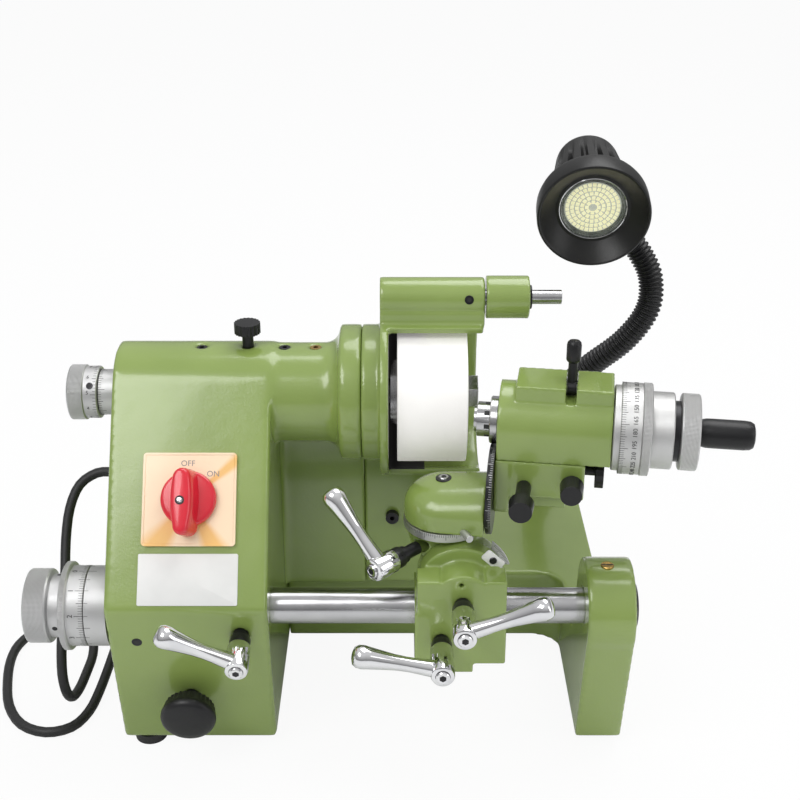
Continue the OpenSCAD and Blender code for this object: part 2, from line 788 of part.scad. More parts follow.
module feed_dial() color(satin_aluminium) machine() {
    scale_x = column_left_x - feed_sleeve_l - part_gap;
    flange_left = scale_x - feed_scale_l - feed_flange_l;
    rod_x(scale_x - feed_scale_l, scale_x, bar_y, bar_z, feed_sleeve_r);
    rod_x(flange_left, scale_x - feed_scale_l, bar_y, bar_z, feed_flange_r);
    rod_x(flange_left - feed_neck_l, flange_left, bar_y, bar_z, feed_neck_r);
    translate([flange_left - feed_neck_l - feed_grip_l, bar_y, bar_z]) rotate([0, 90, 0])
        fluted_drum(feed_grip_r, feed_grip_l, dial_flutes, dial_flute_r);
    rod_x(scale_x - over, bar_left_x - feed_nut_wall_l - bar_travel - seat_gap, bar_y, bar_z, feed_screw_r);
}

module feed_nut() color(bare_steel) machine() difference() {
    rod_x(bar_left_x - feed_nut_l, bar_left_x - seat_gap, bar_y, bar_z, bar_r);
    rod_x(bar_left_x - feed_nut_l - over, bar_left_x - feed_nut_wall_l, bar_y, bar_z, feed_screw_r + run_clear);
}

module slide_bar() color(bare_steel) machine()
    rod_x(bar_left_x, bracket_right_x - bar_travel - seat_gap, bar_y, bar_z, bar_r);

module bar_end_cap() color(black_plastic) machine()
    turned_x(bracket_right_x, bar_y, bar_z, [
        [0, 0],
        [0, end_cap_r],
        [end_cap_t - end_cap_round, end_cap_r],
        [end_cap_t, end_cap_r - end_cap_round],
        [end_cap_t, 0]
    ]);
end_cap_round = 1.5;

// Controls on the column

module bar_lock_lever() color(bare_steel) chin() translate([bar_lock_x, bar_lock_s, 0]) {
    translate([0, 0, -bar_lock_hole_l + over]) cylinder(r = bar_lock_stem_r, h = bar_lock_hole_l);
    translate([0, 0, part_gap]) clamp_lever(bar_lock_hub_l, bar_lock_turn);
}
bar_lock_hub_l = 34;
bar_lock_turn = 143;

module infeed_knob() color(black_plastic) chin() translate([infeed_x, infeed_s, 0]) {
    translate([0, 0, -infeed_hole_l + over]) cylinder(r = infeed_stem_r, h = infeed_hole_l + infeed_rise);
    translate([0, 0, infeed_rise]) fluted_drum(infeed_knob_r, infeed_knob_h, infeed_flutes, infeed_flute_r);
}
infeed_rise = 10;
infeed_knob_h = 16;
infeed_flutes = 22;
infeed_flute_r = 1.6;

module switch_plate() color("bisque") panel() translate([switch_x, switch_s, 0]) difference() {
    translate([-switch_plate_s / 2, -switch_plate_s / 2, 0]) cube([switch_plate_s, switch_plate_s, switch_plate_t]);
    translate([0, 0, -over]) cylinder(r = switch_stem_r + dial_clear, h = switch_plate_t + 2 * over);
}
switch_plate_t = 3;

module switch_knob() color("red") panel() translate([switch_x, switch_s, 0]) {
    translate([0, 0, -switch_hole_l / 2]) cylinder(r = switch_stem_r, h = switch_hole_l / 2 + switch_plate_t + over);
    translate([0, 0, switch_plate_t + part_gap]) {
        cylinder(r = switch_knob_r, h = switch_disc_h);
        intersection() {
            translate([-switch_grip_w / 2, -switch_knob_r - switch_grip_past, 0])
                cube([switch_grip_w, 2 * (switch_knob_r + switch_grip_past), switch_grip_h]);
            cylinder(r = switch_knob_r + switch_grip_past, h = switch_grip_h);
        }
    }
}
switch_disc_h = 6;
switch_grip_w = 12;
switch_grip_past = 7;
switch_grip_h = 20;

module label_plate() color("white") panel()
    translate([switch_x - label_w / 2, label_s, 0]) cube([label_w, label_h, label_t]);
label_w = 68;
label_h = 35;
label_s = 4;
label_t = 0.8;

// Carriage on the slide bar

module carriage_front() {
    translate([tilt_x, tilt_z]) circle(carriage_boss_r);
    translate([carriage_x, carriage_bottom_z]) square([carriage_w, tilt_z - carriage_bottom_z]);
}

module carriage() color(paint_green) machine() difference() {
    union() {
        front_slice(carriage_front_y, carriage_step_y) difference() {
            carriage_front();
            translate([tilt_x - carriage_w, tilt_z - carriage_shoulder]) square([carriage_w - carriage_boss_r, arch_r]);
            translate([tilt_x + carriage_boss_r, tilt_z - carriage_shoulder]) square([carriage_w, arch_r]);
        }
        front_slice(carriage_step_y - over, arch_back_y) {
            translate([tilt_x, tilt_z]) circle(arch_r);
            translate([carriage_x, carriage_bottom_z]) square([carriage_w, tilt_z - carriage_bottom_z]);
        }
        front_slice(arch_back_y - over, carriage_back_y)
            translate([carriage_x, carriage_bottom_z]) square([carriage_w, bar_z + carriage_saddle - carriage_bottom_z]);
    }
    block([carriage_x + carriage_w - carriage_notch_w, carriage_front_y - over, carriage_bottom_z - over],
        [carriage_x + carriage_w + over, carriage_back_y + over, carriage_bottom_z + carriage_notch_h]);
    rod_x(carriage_x - over, carriage_x + carriage_w + over, bar_y, bar_z, bar_r + run_clear);
    rod_y(tilt_x, carriage_front_y - over, arch_back_y + over, tilt_z, tilt_stud_r + run_clear);
    rod_y(lock_lever_x, carriage_front_y - over, bar_y - bar_r, lock_lever_z, tilt_stud_r + run_clear);
    rod_y(tilt_x - over, carriage_front_y - over, carriage_step_y, tilt_z + oil_hole_rise, oil_hole_r);
}
carriage_shoulder = 8;
carriage_saddle = 11;
carriage_notch_w = 22;
carriage_notch_h = 7;
oil_hole_rise = 15;
oil_hole_r = 1.6;

// A front view outline in X and Z pushed back along Y from y0 to y1
module front_slice(y0, y1) translate([0, y1, 0]) rotate([90, 0, 0]) linear_extrude(y1 - y0) children();

module tilt_lock_lever() color(bare_steel) machine() translate([tilt_x, carriage_front_y, tilt_z]) rotate([90, 0, 0]) {
    translate([0, 0, -(arch_back_y + tilt_plate_t - carriage_front_y) + over])
        cylinder(r = tilt_stud_r, h = arch_back_y + tilt_plate_t - carriage_front_y);
    translate([0, 0, part_gap]) clamp_lever(tilt_hub_l, tilt_lever_turn);
}
tilt_lever_turn = 26;

module carriage_lock_lever() color(bare_steel) machine()
    translate([lock_lever_x, carriage_front_y, lock_lever_z]) rotate([90, 0, 0]) {
        translate([0, 0, -lock_stem_l]) cylinder(r = tilt_stud_r, h = lock_stem_l + over);
        translate([0, 0, part_gap]) clamp_lever(tilt_hub_l, lock_lever_turn);
    }
lock_lever_turn = 163;
lock_stem_gap = 2;
lock_stem_l = bar_y - bar_r - carriage_front_y - lock_stem_gap;

// Tilt base: a disc against the back of the arch, carrying the round swivel base

module tilt_base() color(paint_green) machine() difference() {
    union() {
        rod_y(tilt_x, arch_back_y + part_gap, arch_back_y + part_gap + tilt_plate_t, tilt_z, arch_r - over);
        translate([swivel_x, swivel_y, tilt_base_z]) cylinder(r1 = tilt_base_r - tilt_base_taper, r2 = tilt_base_r,
            h = ring_z - tilt_base_z);
    }
    rod_y(tilt_x, arch_back_y - over, arch_back_y + part_gap + tilt_plate_t + over, tilt_z, tilt_stud_r + run_clear);
    front_slice(arch_back_y, carriage_back_y + swivel_y) tilt_room();
    translate([swivel_x, swivel_y, swivel_lever_z]) rotate([0, 90, swivel_lever_az])
        cylinder(r = swivel_stem_r + run_clear, h = 2 * swivel_r);
    translate([swivel_x, swivel_y, ring_z - swivel_pin_l]) cylinder(r = swivel_pin_r + run_clear, h = swivel_pin_l + over);
    block([swivel_x - swivel_r - over, carriage_front_y, tilt_base_z - over],
        [tilt_x + carriage_w, arch_back_y + part_gap, tilt_z + arch_r + part_gap]);
}
tilt_base_taper = 4;
swivel_pin_l = 12;

// The room under the tilt base that the carriage's saddle takes up at either end of the tilt
module tilt_room() {
    floor_z = bar_z + bar_r + part_gap;
    polygon([
        [tilt_x - carriage_w, floor_z],
        [tilt_x, floor_z],
        [tilt_x + carriage_w, floor_z + carriage_w * tan(tilt_max + tilt_ease)],
        [tilt_x + carriage_w, casting_z],
        [tilt_x - carriage_w, casting_z]
    ]);
}
tilt_max = 20;
tilt_ease = 2;

module tilt_scale() color(satin_aluminium) machine()
    front_slice(arch_back_y + part_gap, arch_back_y + part_gap + tilt_scale_t) intersection() {
        difference() {
            translate([tilt_x, tilt_z]) circle(arch_r + tilt_scale_w);
            translate([tilt_x, tilt_z]) circle(arch_r - over);
        }
        translate([tilt_x + tilt_scale_from, tilt_z + tilt_scale_up]) square(arch_r + tilt_scale_w);
    }
tilt_scale_up = 10;
tilt_scale_t = 2;
tilt_scale_w = 4;
tilt_scale_in = 10;
tilt_scale_from = arch_r - tilt_scale_in;

module swivel_ring() color(satin_aluminium) machine() translate([swivel_x, swivel_y, ring_z]) difference() {
    cylinder(r = swivel_r, h = ring_h);
    translate([0, 0, -over]) cylinder(r = swivel_pin_r + run_clear, h = ring_h + 2 * over);
}

module stop_pin() color(bare_steel) head() rotate([0, 0, stop_pin_az])
    translate([swivel_r, 0, dome_base_z + dome_rim_h / 2])
        rotate([0, 90, 0]) cylinder(r = stop_pin_r, h = stop_pin_l);
stop_pin_az = -60;
stop_pin_r = 2.6;
stop_pin_l = 14;

module swivel_lock_lever() color(bare_steel) machine() translate([swivel_x, swivel_y, swivel_lever_z])
    rotate([0, 90, swivel_lever_az]) {
        translate([0, 0, swivel_pin_r + swivel_stem_gap])
            cylinder(r = swivel_stem_r, h = tilt_base_r - swivel_pin_r - swivel_stem_gap + swivel_stem_out);
        translate([0, 0, tilt_base_r + swivel_stem_out]) clamp_lever(swivel_hub_l, swivel_lever_turn);
    }
swivel_stem_gap = 2;
swivel_stem_r = 5;
swivel_stem_out = 12;
swivel_hub_l = 30;
swivel_lever_turn = 222;

// Swivel dome, with the relief flange on its right

module swivel_dome() color(paint_green) head() difference() {
    union() {
        translate([0, 0, dome_base_z]) rotate_extrude() polygon(concat(
            [[0, 0], [swivel_r, 0], [swivel_r, dome_rim_h]],
            [for (a = [dome_arc:dome_arc:90]) [swivel_r * cos(a), dome_rim_h + dome_h * sin(a)]]
        ));
        difference() {
            union() {
                rod_x(dome_flange_x - dome_flange_w, dome_flange_x, 0, relief_z, relief_r - over);
                rod_x(0, dome_flange_x - over, 0, relief_z - dome_neck_drop, dome_neck_r);
            }
            block([-dome_r, -dome_r, ring_z - dome_r], [2 * dome_r, dome_r, dome_base_z]);
        }
        translate([0, 0, ring_z - swivel_pin_l + over]) cylinder(r = swivel_pin_r, h = swivel_pin_l + ring_h);
    }
    rod_x(dome_flange_x - relief_pin_l, dome_flange_x + over, 0, relief_z, relief_pin_r + run_clear);
    translate([-over, 0, dome_base_z + dome_rim_h + dome_h - dome_socket_l])
        cylinder(r = dome_socket_r, h = dome_socket_l + over);
}
dome_rim_h = 6;
dome_h = 23;
dome_arc = 10;
dome_neck_drop = 4;
dome_neck_r = 19;
relief_pin_l = 14;
dome_socket_l = 5;
dome_socket_r = 4;

module relief_disc() color(bare_steel) head() {
    rod_x(dome_flange_x + part_gap, dome_flange_x + part_gap + relief_disc_t, 0, relief_z, relief_r);
    rod_x(dome_flange_x - relief_pin_l + over, dome_flange_x + over, 0, relief_z, relief_pin_r);
}

// Carrier and its dovetail slide below the workhead

module head_carrier() color(paint_green) head() difference() {
    union() {
        block([carrier_x, slide_front_y, slide_z - slide_h], [carrier_x + slide_l, slide_front_y + slide_d, slide_z]);
        rod_x(dome_flange_x + part_gap + relief_disc_t, carrier_x + carrier_w, 0, relief_z, relief_r - 2 * over);
        block([carrier_x, slide_front_y + carrier_step, slide_z - slide_h - carrier_foot_h],
            [carrier_x + slide_l - 2 * carrier_step, slide_front_y + slide_d, slide_z - slide_h + over]);
    }
    block([carrier_x - over, -relief_r, slide_z], [carrier_x + slide_l + over, relief_r, relief_z + relief_r + over]);
    rod_y(carrier_x + clamp_knob_u, slide_front_y - over, slide_front_y + clamp_hole_l, slide_z - clamp_drop,
        clamp_thread_r + run_clear);
    rod_y(carrier_x + gib_knob_u, slide_front_y - over, slide_front_y + clamp_hole_l, slide_z - gib_drop,
        clamp_thread_r + run_clear);
    rod_x(carrier_x + slide_l - feed_wheel_stem_l, carrier_x + slide_l + over, head_y, slide_z - feed_wheel_drop,
        feed_wheel_stem_r + run_clear);
}
carrier_step = 6;
carrier_foot_h = 10;
clamp_knob_u = 20;
clamp_drop = 18;
clamp_hole_l = 16;
clamp_thread_r = 3;
gib_knob_in = 8;
gib_knob_u = slide_l - gib_knob_in;
gib_drop = 12;
feed_wheel_drop = 17;

// A plain knob on a threaded stem, with its stem along -Y into the carrier
module front_knob(stem_r, stem_l, head_r, head_l) rotate([90, 0, 0]) {
    translate([0, 0, -clamp_hole_l + over]) cylinder(r = clamp_thread_r, h = clamp_hole_l);
    translate([0, 0, part_gap]) cylinder(r = stem_r, h = stem_l);
    translate([0, 0, part_gap + stem_l]) cylinder(r1 = head_r, r2 = head_r - knob_round, h = head_l);
}
knob_round = 0.8;

module clamp_knob() color(black_plastic) head()
    translate([carrier_x + clamp_knob_u, slide_front_y, slide_z - clamp_drop])
        front_knob(clamp_stem_r, clamp_stem_l, clamp_head_r, clamp_head_l);

module gib_knob() color(black_plastic) head()
    translate([carrier_x + gib_knob_u, slide_front_y, slide_z - gib_drop])
        front_knob(clamp_stem_r, gib_stem_l, gib_knob_r, gib_knob_l);
gib_stem_l = 6;

module head_feed_wheel() color(black_plastic) head()
    translate([carrier_x + slide_l, head_y, slide_z - feed_wheel_drop]) rotate([0, 90, 0]) {
        translate([0, 0, -feed_wheel_stem_l + over]) cylinder(r = feed_wheel_stem_r, h = 2 * feed_wheel_stem_l);
        translate([0, 0, feed_wheel_out]) fluted_drum(feed_wheel_r, feed_wheel_t, feed_wheel_flutes, dial_flute_r);
    }
feed_wheel_out = 7;
feed_wheel_flutes = 18;

// Workhead body and its index spindle

// The body's end view: a round top on a flat foot just above the slide
module body_section() difference() {
    union() {
        translate([head_y, head_z]) circle(head_r);
        translate([head_y - head_r, slide_z]) square([2 * head_r, head_z - slide_z]);
    }
    translate([head_y - head_r - over, slide_z + part_gap - head_r]) square([2 * (head_r + over), head_r]);
}

module workhead_body() color(paint_green) head() difference() {
    union() {
        side_outline(body_x, body_x + body_l) body_section();
        block([body_x + head_step_l, head_y - head_boss_w / 2, head_z],
            [body_x + head_step_l + head_boss_l, head_y + head_boss_w / 2, head_z + head_r + head_boss_h]);
    }
    rod_x(body_x - over, body_x + nose_neck_l + over, head_y, head_z, nose_neck_r + run_clear);
    rod_x(body_x + nose_neck_l, body_x + body_l + over, head_y, head_z, head_bore_r + run_clear);
    rod_x(body_x + pawl_slot_u - pawl_pin_l - over, body_x + pawl_slot_u + pawl_slot_w + pawl_pin_l + over,
        head_y, pawl_z, pawl_pin_r + run_clear);
    block([body_x + pawl_slot_u, head_y - head_r - over, head_z + head_slot_rise],
        [body_x + pawl_slot_u + pawl_slot_w, head_y + head_r + over, head_z + head_r + head_boss_h + over]);
}
head_boss_w = 34;
head_boss_tail = 9;
head_boss_l = body_l - head_step_l - head_boss_tail;
head_boss_h = 5;
pawl_slot_u = 44;
head_slot_rise = 22;

module index_spindle() color(bare_steel) head() difference() {
    union() {
        rod_x(body_x - nose_flange_t, body_x - part_gap, head_y, head_z, nose_flange_r);
        rod_x(body_x - nose_flange_t, body_x + nose_neck_l + over, head_y, head_z, nose_neck_r);
        rod_x(body_x + nose_neck_l + part_gap, body_x + body_l + thrust_t, head_y, head_z, head_bore_r);
        rod_x(body_x - nose_l, body_x - nose_flange_t + over, head_y, head_z, nose_r);
    }
    rod_x(body_x - nose_l - over, body_x - nose_l + collet_l, head_y, head_z, collet_r);
    rod_x(body_x, body_x + body_l + thrust_t + over, head_y, head_z, drawbar_r + run_clear);
}
collet_r = 9;

module collet() color(bare_steel) head() difference() {
    rod_x(body_x - nose_l - collet_out, body_x - nose_l + collet_l, head_y, head_z, collet_r);
    rod_x(body_x - nose_l - collet_out - over, body_x - nose_l + collet_l + over, head_y, head_z, collet_bore_r);
}
collet_out = 2;

module index_rings() color(satin_aluminium) head() difference() {
    union() {
        rod_x(rings_x, rings_x + thrust_t - part_gap, head_y, head_z, index_r - 2 * over);
        rod_x(rings_x + thrust_t - part_gap, rings_x + thrust_t + index_l, head_y, head_z, index_r);
        translate([rings_x + thrust_t + index_l, head_y, head_z]) rotate([0, 90, 0])
            fluted_drum(index_r + grip_proud, grip_l, index_flutes, dial_flute_r);
        rod_x(rings_x + thrust_t + index_l + grip_l, rings_x + thrust_t + index_l + grip_l + sleeve_l,
            head_y, head_z, sleeve_r);
    }
    rod_x(rings_x - over, rings_x + thrust_t, head_y, head_z, head_bore_r);
    rod_x(rings_x, rings_x + thrust_t + index_l + grip_l + sleeve_l + over, head_y, head_z, drawbar_r + run_clear);
}
rings_x = body_x + body_l + part_gap;
grip_proud = 0.5;
index_flutes = 60;

module drawbar_handle() color(black_plastic) head() {
    nut_x = rings_x + thrust_t + index_l + grip_l + sleeve_l + nut_gap;
    translate([nut_x, head_y, head_z]) rotate([0, 90, 0])
        fluted_drum(sleeve_r, nut_l, dial_flutes, dial_flute_r);
    rod_x(nut_x + nut_l - over, nut_x + nut_l + handle_l - handle_round, head_y, head_z, handle_r);
    turned_x(nut_x + nut_l + handle_l - handle_round - over, head_y, head_z, [
        [0, 0], [0, handle_r], [over, handle_r], [over + handle_round, handle_r - handle_round], [over + handle_round, 0]
    ]);
    rod_x(body_x - nose_l + collet_l + seat_gap, nut_x + over, head_y, head_z, drawbar_r);
}
handle_round = 2;

module index_pawl() color(black_plastic) head() {
    rod_x(pawl_x + part_gap, pawl_x + pawl_slot_w - part_gap, head_y, pawl_z, pawl_hub_r);
    rod_x(pawl_x - pawl_pin_l, pawl_x + pawl_slot_w + pawl_pin_l, head_y, pawl_z, pawl_pin_r);
    translate([pawl_x + pawl_slot_w / 2, head_y, pawl_z]) rotate([pawl_lean, 0, 0]) {
        cylinder(r = pawl_arm_r, h = pawl_arm_l);
        translate([0, 0, pawl_arm_l]) sphere(pawl_arm_r + over);
    }
}
pawl_x = body_x + pawl_slot_u;
pawl_hub_r = 5;
pawl_pin_r = 2;
pawl_pin_l = 5;
pawl_z = head_z + head_slot_rise + part_gap + pawl_hub_r;
pawl_lean = -8;
pawl_arm_r = 3;
pawl_arm_l = 30;

// Curves: a smooth line through hand-chosen points, and tubes that follow it

function unit(v) = v / norm(v);
function last(p) = len(p) - 1;
function clamp_at(p, i) = p[max(0, min(last(p), i))];

// Distance along the chords up to each point
function run_to(p, i) = i == 0 ? 0 : run_to(p, i - 1) + norm(p[i] - p[i - 1]);
function runs(p) = [for (i = [0:last(p)]) run_to(p, i)];

// The point at share t of the stretch from point i to the next one
function curve_at(p, i, t) =
    let (a = clamp_at(p, i - 1), b = p[i], c = clamp_at(p, i + 1), d = clamp_at(p, i + 2))
    0.5 * (2 * b + (c - a) * t + (2 * a - 5 * b + 4 * c - d) * t * t + (3 * b - a - 3 * c + d) * t * t * t);

// The stretch of the line that holds the distance s
function stretch_at(run, s) = max([0, for (i = [0:len(run) - 2]) if (s >= run[i]) i]);

// A line of evenly spaced points
function smooth_line(p, steps) =
    let (run = runs(p))
    [for (k = [0:steps])
        let (s = run[last(p)] * k / steps, i = stretch_at(run, s))
        curve_at(p, i, (s - run[i]) / (run[i + 1] - run[i]))];

function heading(p, i) = unit(clamp_at(p, i + 1) - clamp_at(p, i - 1));

// A side direction for each point, carried along without twist
function sides_along(p, i, side) =
    let (flat = unit(side - (side * heading(p, i)) * heading(p, i)))
    i == last(p) ? [flat] : concat([flat], sides_along(p, i + 1, flat));

// The points of rings round a line, with one radius per ring
function ring_points(p, radii, sides) =
    let (side = sides_along(p, 0, cross(heading(p, 0), [0.3, 0.5, 0.8])))
    [for (i = [0:last(p)], j = [0:sides - 1])
        let (a = 360 * j / sides, other = cross(heading(p, i), side[i]))
        p[i] + radii[i] * (cos(a) * side[i] + sin(a) * other)];

// The triangles between neighbouring rings, numbered from a first ring
function skin(first, rings, sides) = [for (i = [0:rings - 2], j = [0:sides - 1])
    let (a = first + i * sides + j, b = first + i * sides + (j + 1) % sides)
    each [[a, b + sides, b], [a, a + sides, b + sides]]];

function turned_over(faces) = [for (f = faces) [f[2], f[1], f[0]]];

// A solid tube
module tube(p, r, sides) {
    rings = len(p);
    ends = [for (j = [1:sides - 2]) each [[0, j, j + 1],
        [(rings - 1) * sides, (rings - 1) * sides + j + 1, (rings - 1) * sides + j]]];
    polyhedron(ring_points(p, [for (q = p) r], sides), concat(skin(0, rings, sides), ends));
}

// A ribbed hose with a bore: the crests and roots of its ribs alternate
module ribbed_hose(p, crest_r, root_r, bore_r, sides) {
    rings = len(p);
    outer = ring_points(p, [for (i = [0:last(p)]) i % 2 == 0 ? root_r : crest_r], sides);
    inner = ring_points(p, [for (q = p) bore_r], sides);
    base = rings * sides;
    tail = (rings - 1) * sides;
    rims = [for (j = [0:sides - 1]) let (k = (j + 1) % sides) each [
        [j, k, base + k], [j, base + k, base + j],
        [tail + j, base + tail + k, tail + k], [tail + j, base + tail + j, base + tail + k]
    ]];
    polyhedron(concat(outer, inner),
        concat(skin(0, rings, sides), turned_over(skin(base, rings, sides)), rims));
}

// Lamp on its ribbed gooseneck

lamp_floor_z = bed_top_z + part_gap;
neck_start_z = lamp_floor_z + lamp_base_h + lamp_socket_h;
neck_sides = 8;
neck_rib_depth = 2;
neck_bore_r = 5;
neck_straight_l = 20;
neck_bends = [
    [4, -5, 72],
    [16, -23, 108],
    [34, -41, 139],
    [60, -51, 167],
    [76, -53, 194],
    [77, -49, 219],
    [68, -45, 238],
    [57, -43, 251],
    [51, -43, 260],
    [45, -43, 270]
];
neck_route = concat(
    [[lamp_x, lamp_y, neck_start_z], [lamp_x, lamp_y, neck_start_z + neck_straight_l]],
    [for (bend = neck_bends) lamp_foot + bend]
);
neck_end = neck_route[last(neck_route)];

module lamp_base() color(black_plastic) machine() translate([lamp_x, lamp_y, lamp_floor_z]) {
    translate([0, 0, over - lamp_spigot_l]) cylinder(r = lamp_spigot_r, h = lamp_spigot_l);
    cylinder(r1 = lamp_base_r, r2 = lamp_base_r - lamp_socket_wall, h = lamp_base_h);
    cylinder(r = neck_r + lamp_socket_wall, h = lamp_base_h + lamp_socket_h);
}

module gooseneck() color(black_plastic) machine()
    ribbed_hose(smooth_line(neck_route, 2 * neck_ribs), neck_r, neck_r - neck_rib_depth, neck_bore_r, neck_sides);

lamp_axis = lamp_face - lamp_tail;
lamp_len = norm(lamp_axis);

// The lamp's own frame: Z runs from the tail of the heat sink out through the lens
module lamp() machine() translate(lamp_tail)
    rotate([0, acos(lamp_axis[2] / lamp_len), atan2(lamp_axis[1], lamp_axis[0])]) children();

module lamp_head() color(black_plastic) {
    lamp() {
        rotate_extrude() polygon([
            [0, 0],
            [tail_r - fin_h, 0],
            [shade_back_r - fin_h, heatsink_len],
            [shade_r, lamp_len - shade_len / 2],
            [shade_r, lamp_len],
            [shade_r - shade_wall, lamp_len],
            [lens_r + shade_wall, lamp_len - lens_set],
            [lens_r, lamp_len - lens_set],
            [lens_r, lamp_len - lens_set - lens_t],
            [0, lamp_len - lens_set - lens_t]
        ]);
        intersection() {
            linear_extrude(heatsink_len) fin_ring(tail_r - 2 * fin_h, shade_back_r + over, fin_count);
            cylinder(r1 = tail_r, r2 = shade_back_r, h = heatsink_len);
        }
    }
    machine() translate(neck_end) rotate([0, lamp_boss_tilt, 0]) translate([0, 0, part_gap])
        cylinder(r = neck_r - lamp_socket_wall / 2, h = lamp_boss_l);
}
tail_r = 24;
lens_set = 12;
lamp_boss_tilt = -31;
lamp_boss_l = 26;

module lamp_lens() color("lightcyan") lamp() translate([0, 0, lamp_len - lens_set - lens_t])
    cylinder(r = lens_r - run_clear, h = lens_t);

// Mains lead: gland, free stretch, tied coil and plug

lead_r = cord_d / 2;
gland_y = 150;
gland_z = 160;
gland_nut_l = 6;
gland_nut_r = 11;
gland_l = 20;
gland_tip_r = 5;
lead_sides = 8;
lead_rings = 78;
floor_lead_z = lead_r + part_gap;
lead_route = [
    [column_left_x - gland_l, gland_y, gland_z],
    [-233, 150, 159],
    [-246, 146, 151],
    [-253, 136, 136],
    [-255, 122, 116],
    [-254, 104, 93],
    [-253, 84, 74],
    [-252, 67, 57],
    [-251, 57, 39],
    [-250, 59, 21],
    [-249, 70, 9],
    [-248, 88, floor_lead_z],
    [-247, 108, floor_lead_z],
    [-247, 130, floor_lead_z],
    [-252, 152, floor_lead_z],
    [-266, 168, floor_lead_z],
    [-284, 172, floor_lead_z],
    [-301, 162, floor_lead_z],
    [-310, 144, floor_lead_z],
    [-311, 122, floor_lead_z],
    [-306, 94, floor_lead_z],
    [-297, 65, floor_lead_z],
    [-282, 43, floor_lead_z],
    [-262, 34, floor_lead_z],
    [-244, 40, floor_lead_z],
    [-235, 58, floor_lead_z],
    [-232, 84, floor_lead_z],
    [-231, 120, floor_lead_z],
    [-231, 160, floor_lead_z],
    [-232, 200, floor_lead_z],
    [-232, 236, floor_lead_z],
    [-227, 262, floor_lead_z],
    [-213, 283, floor_lead_z],
    [-191, 293, floor_lead_z],
    [-167, 294, floor_lead_z],
    [-145, 294, floor_lead_z]
];

// The coil spirals in on the table, climbs a layer, and spirals out again on top
coil_c = [-145, 342];
coil_turns = 3.5;
coil_out_r = 48;
coil_step = 8;
coil_rise = cord_d + 0.5;
coil_sides = 6;
coil_rings_per_turn = 24;
coil_half = coil_turns / 2;
coil_climb = 0.25;
coil_tail_l = 30;
function coil_layer(t) = max(0, min(1, (t - coil_half + coil_climb) / (2 * coil_climb)));
function coil_point(t) =
    let (a = 360 * t - 90, r = coil_out_r - coil_step * (coil_half - abs(t - coil_half)))
    [coil_c[0] + r * cos(a), coil_c[1] + r * sin(a), floor_lead_z + coil_rise * coil_layer(t)];
coil_line = concat(
    [for (k = [0:coil_turns * coil_rings_per_turn]) coil_point(k / coil_rings_per_turn)],
    [coil_point(coil_turns) + [-coil_tail_l / 2, 0, 0], coil_point(coil_turns) + [-coil_tail_l, 0, 0]]
);

// The least gap between parts of the coil that are over a third of a turn apart
coil_least = min([for (i = [0:last(coil_line)], j = [0:last(coil_line)])
    if (j - i > coil_rings_per_turn / 3) norm(coil_line[i] - coil_line[j])]) - cord_d;
echo(least_gap_in_coil = coil_least);
echo(coil_length = run_to(coil_line, last(coil_line)), lead_length = run_to(lead_route, last(lead_route)));

module cable_gland() color(black_plastic) machine() translate([column_left_x, gland_y, gland_z]) rotate([0, -90, 0]) {
    cylinder(r = gland_nut_r, h = gland_nut_l, $fn = 6);
    cylinder(r1 = gland_nut_r - over, r2 = gland_tip_r, h = gland_l);
}

module mains_lead() color(black_plastic) machine() tube(smooth_line(lead_route, lead_rings), lead_r, lead_sides);

module lead_coil() color(black_plastic) machine() tube(coil_line, lead_r, coil_sides);

// A rounded two-pin plug lying at the end of the coil
plug_r = 12;
plug_l = 38;
plug_neck_l = 16;
pin_r = 2.4;
pin_l = 19;
pin_pitch = 19;

module mains_plug() color(black_plastic) machine() translate(coil_line[last(coil_line)]) rotate([0, -90, 0]) {
    cylinder(r1 = gland_tip_r, r2 = plug_r - lead_r, h = plug_neck_l);
    translate([0, 0, plug_neck_l]) intersection() {
        cylinder(r = pin_pitch, h = plug_l);
        translate([-plug_r + over, -pin_pitch, 0]) cube([2 * (plug_r - over), 2 * pin_pitch, plug_l]);
    }
    for (y = [-pin_pitch / 2, pin_pitch / 2])
        translate([0, y, plug_neck_l + plug_l - over]) cylinder(r = pin_r, h = pin_l + over);
}

bed_casting();
column_casting();
rear_cover();
rubber_feet();
motor_body();
motor_rotor();
drive_belt();
quill_sleeve();
spindle_bearings();
spindle_shaft();
wheel_flanges();
wheel_nut();
grinding_wheel();
wheel_guard();
guard_screws();
dresser_shaft();
dresser_head();
dresser_diamond();
quill_index_sleeve();
quill_dial();
quill_lock_screw();
oil_screws();
feed_index_sleeve();
feed_dial();
feed_nut();
slide_bar();
bar_end_cap();
bar_lock_lever();
infeed_knob();
switch_plate();
switch_knob();
label_plate();
carriage();
tilt_lock_lever();
carriage_lock_lever();
tilt_base();
tilt_scale();
swivel_ring();
stop_pin();
swivel_lock_lever();
swivel_dome();
relief_disc();
head_carrier();
clamp_knob();
gib_knob();
head_feed_wheel();
workhead_body();
index_spindle();
collet();
index_rings();
drawbar_handle();
index_pawl();
lamp_base();
gooseneck();
lamp_head();
lamp_lens();
cable_gland();
mains_lead();
lead_coil();
mains_plug();
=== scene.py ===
# %% [markdown]
# # A bench tool and cutter grinder
# The castings, spindle, workhead and every moving piece arrive from the construction model as a fixed
# frame. This lesson dresses that frame: it rounds the castings, marks the dials, lays the mains lead, lights
# the lamp and gives each surface the finish that it has on the real machine.

# %% Load the frame
import json
import math

import bmesh
import bpy
from mathutils import Matrix, Vector

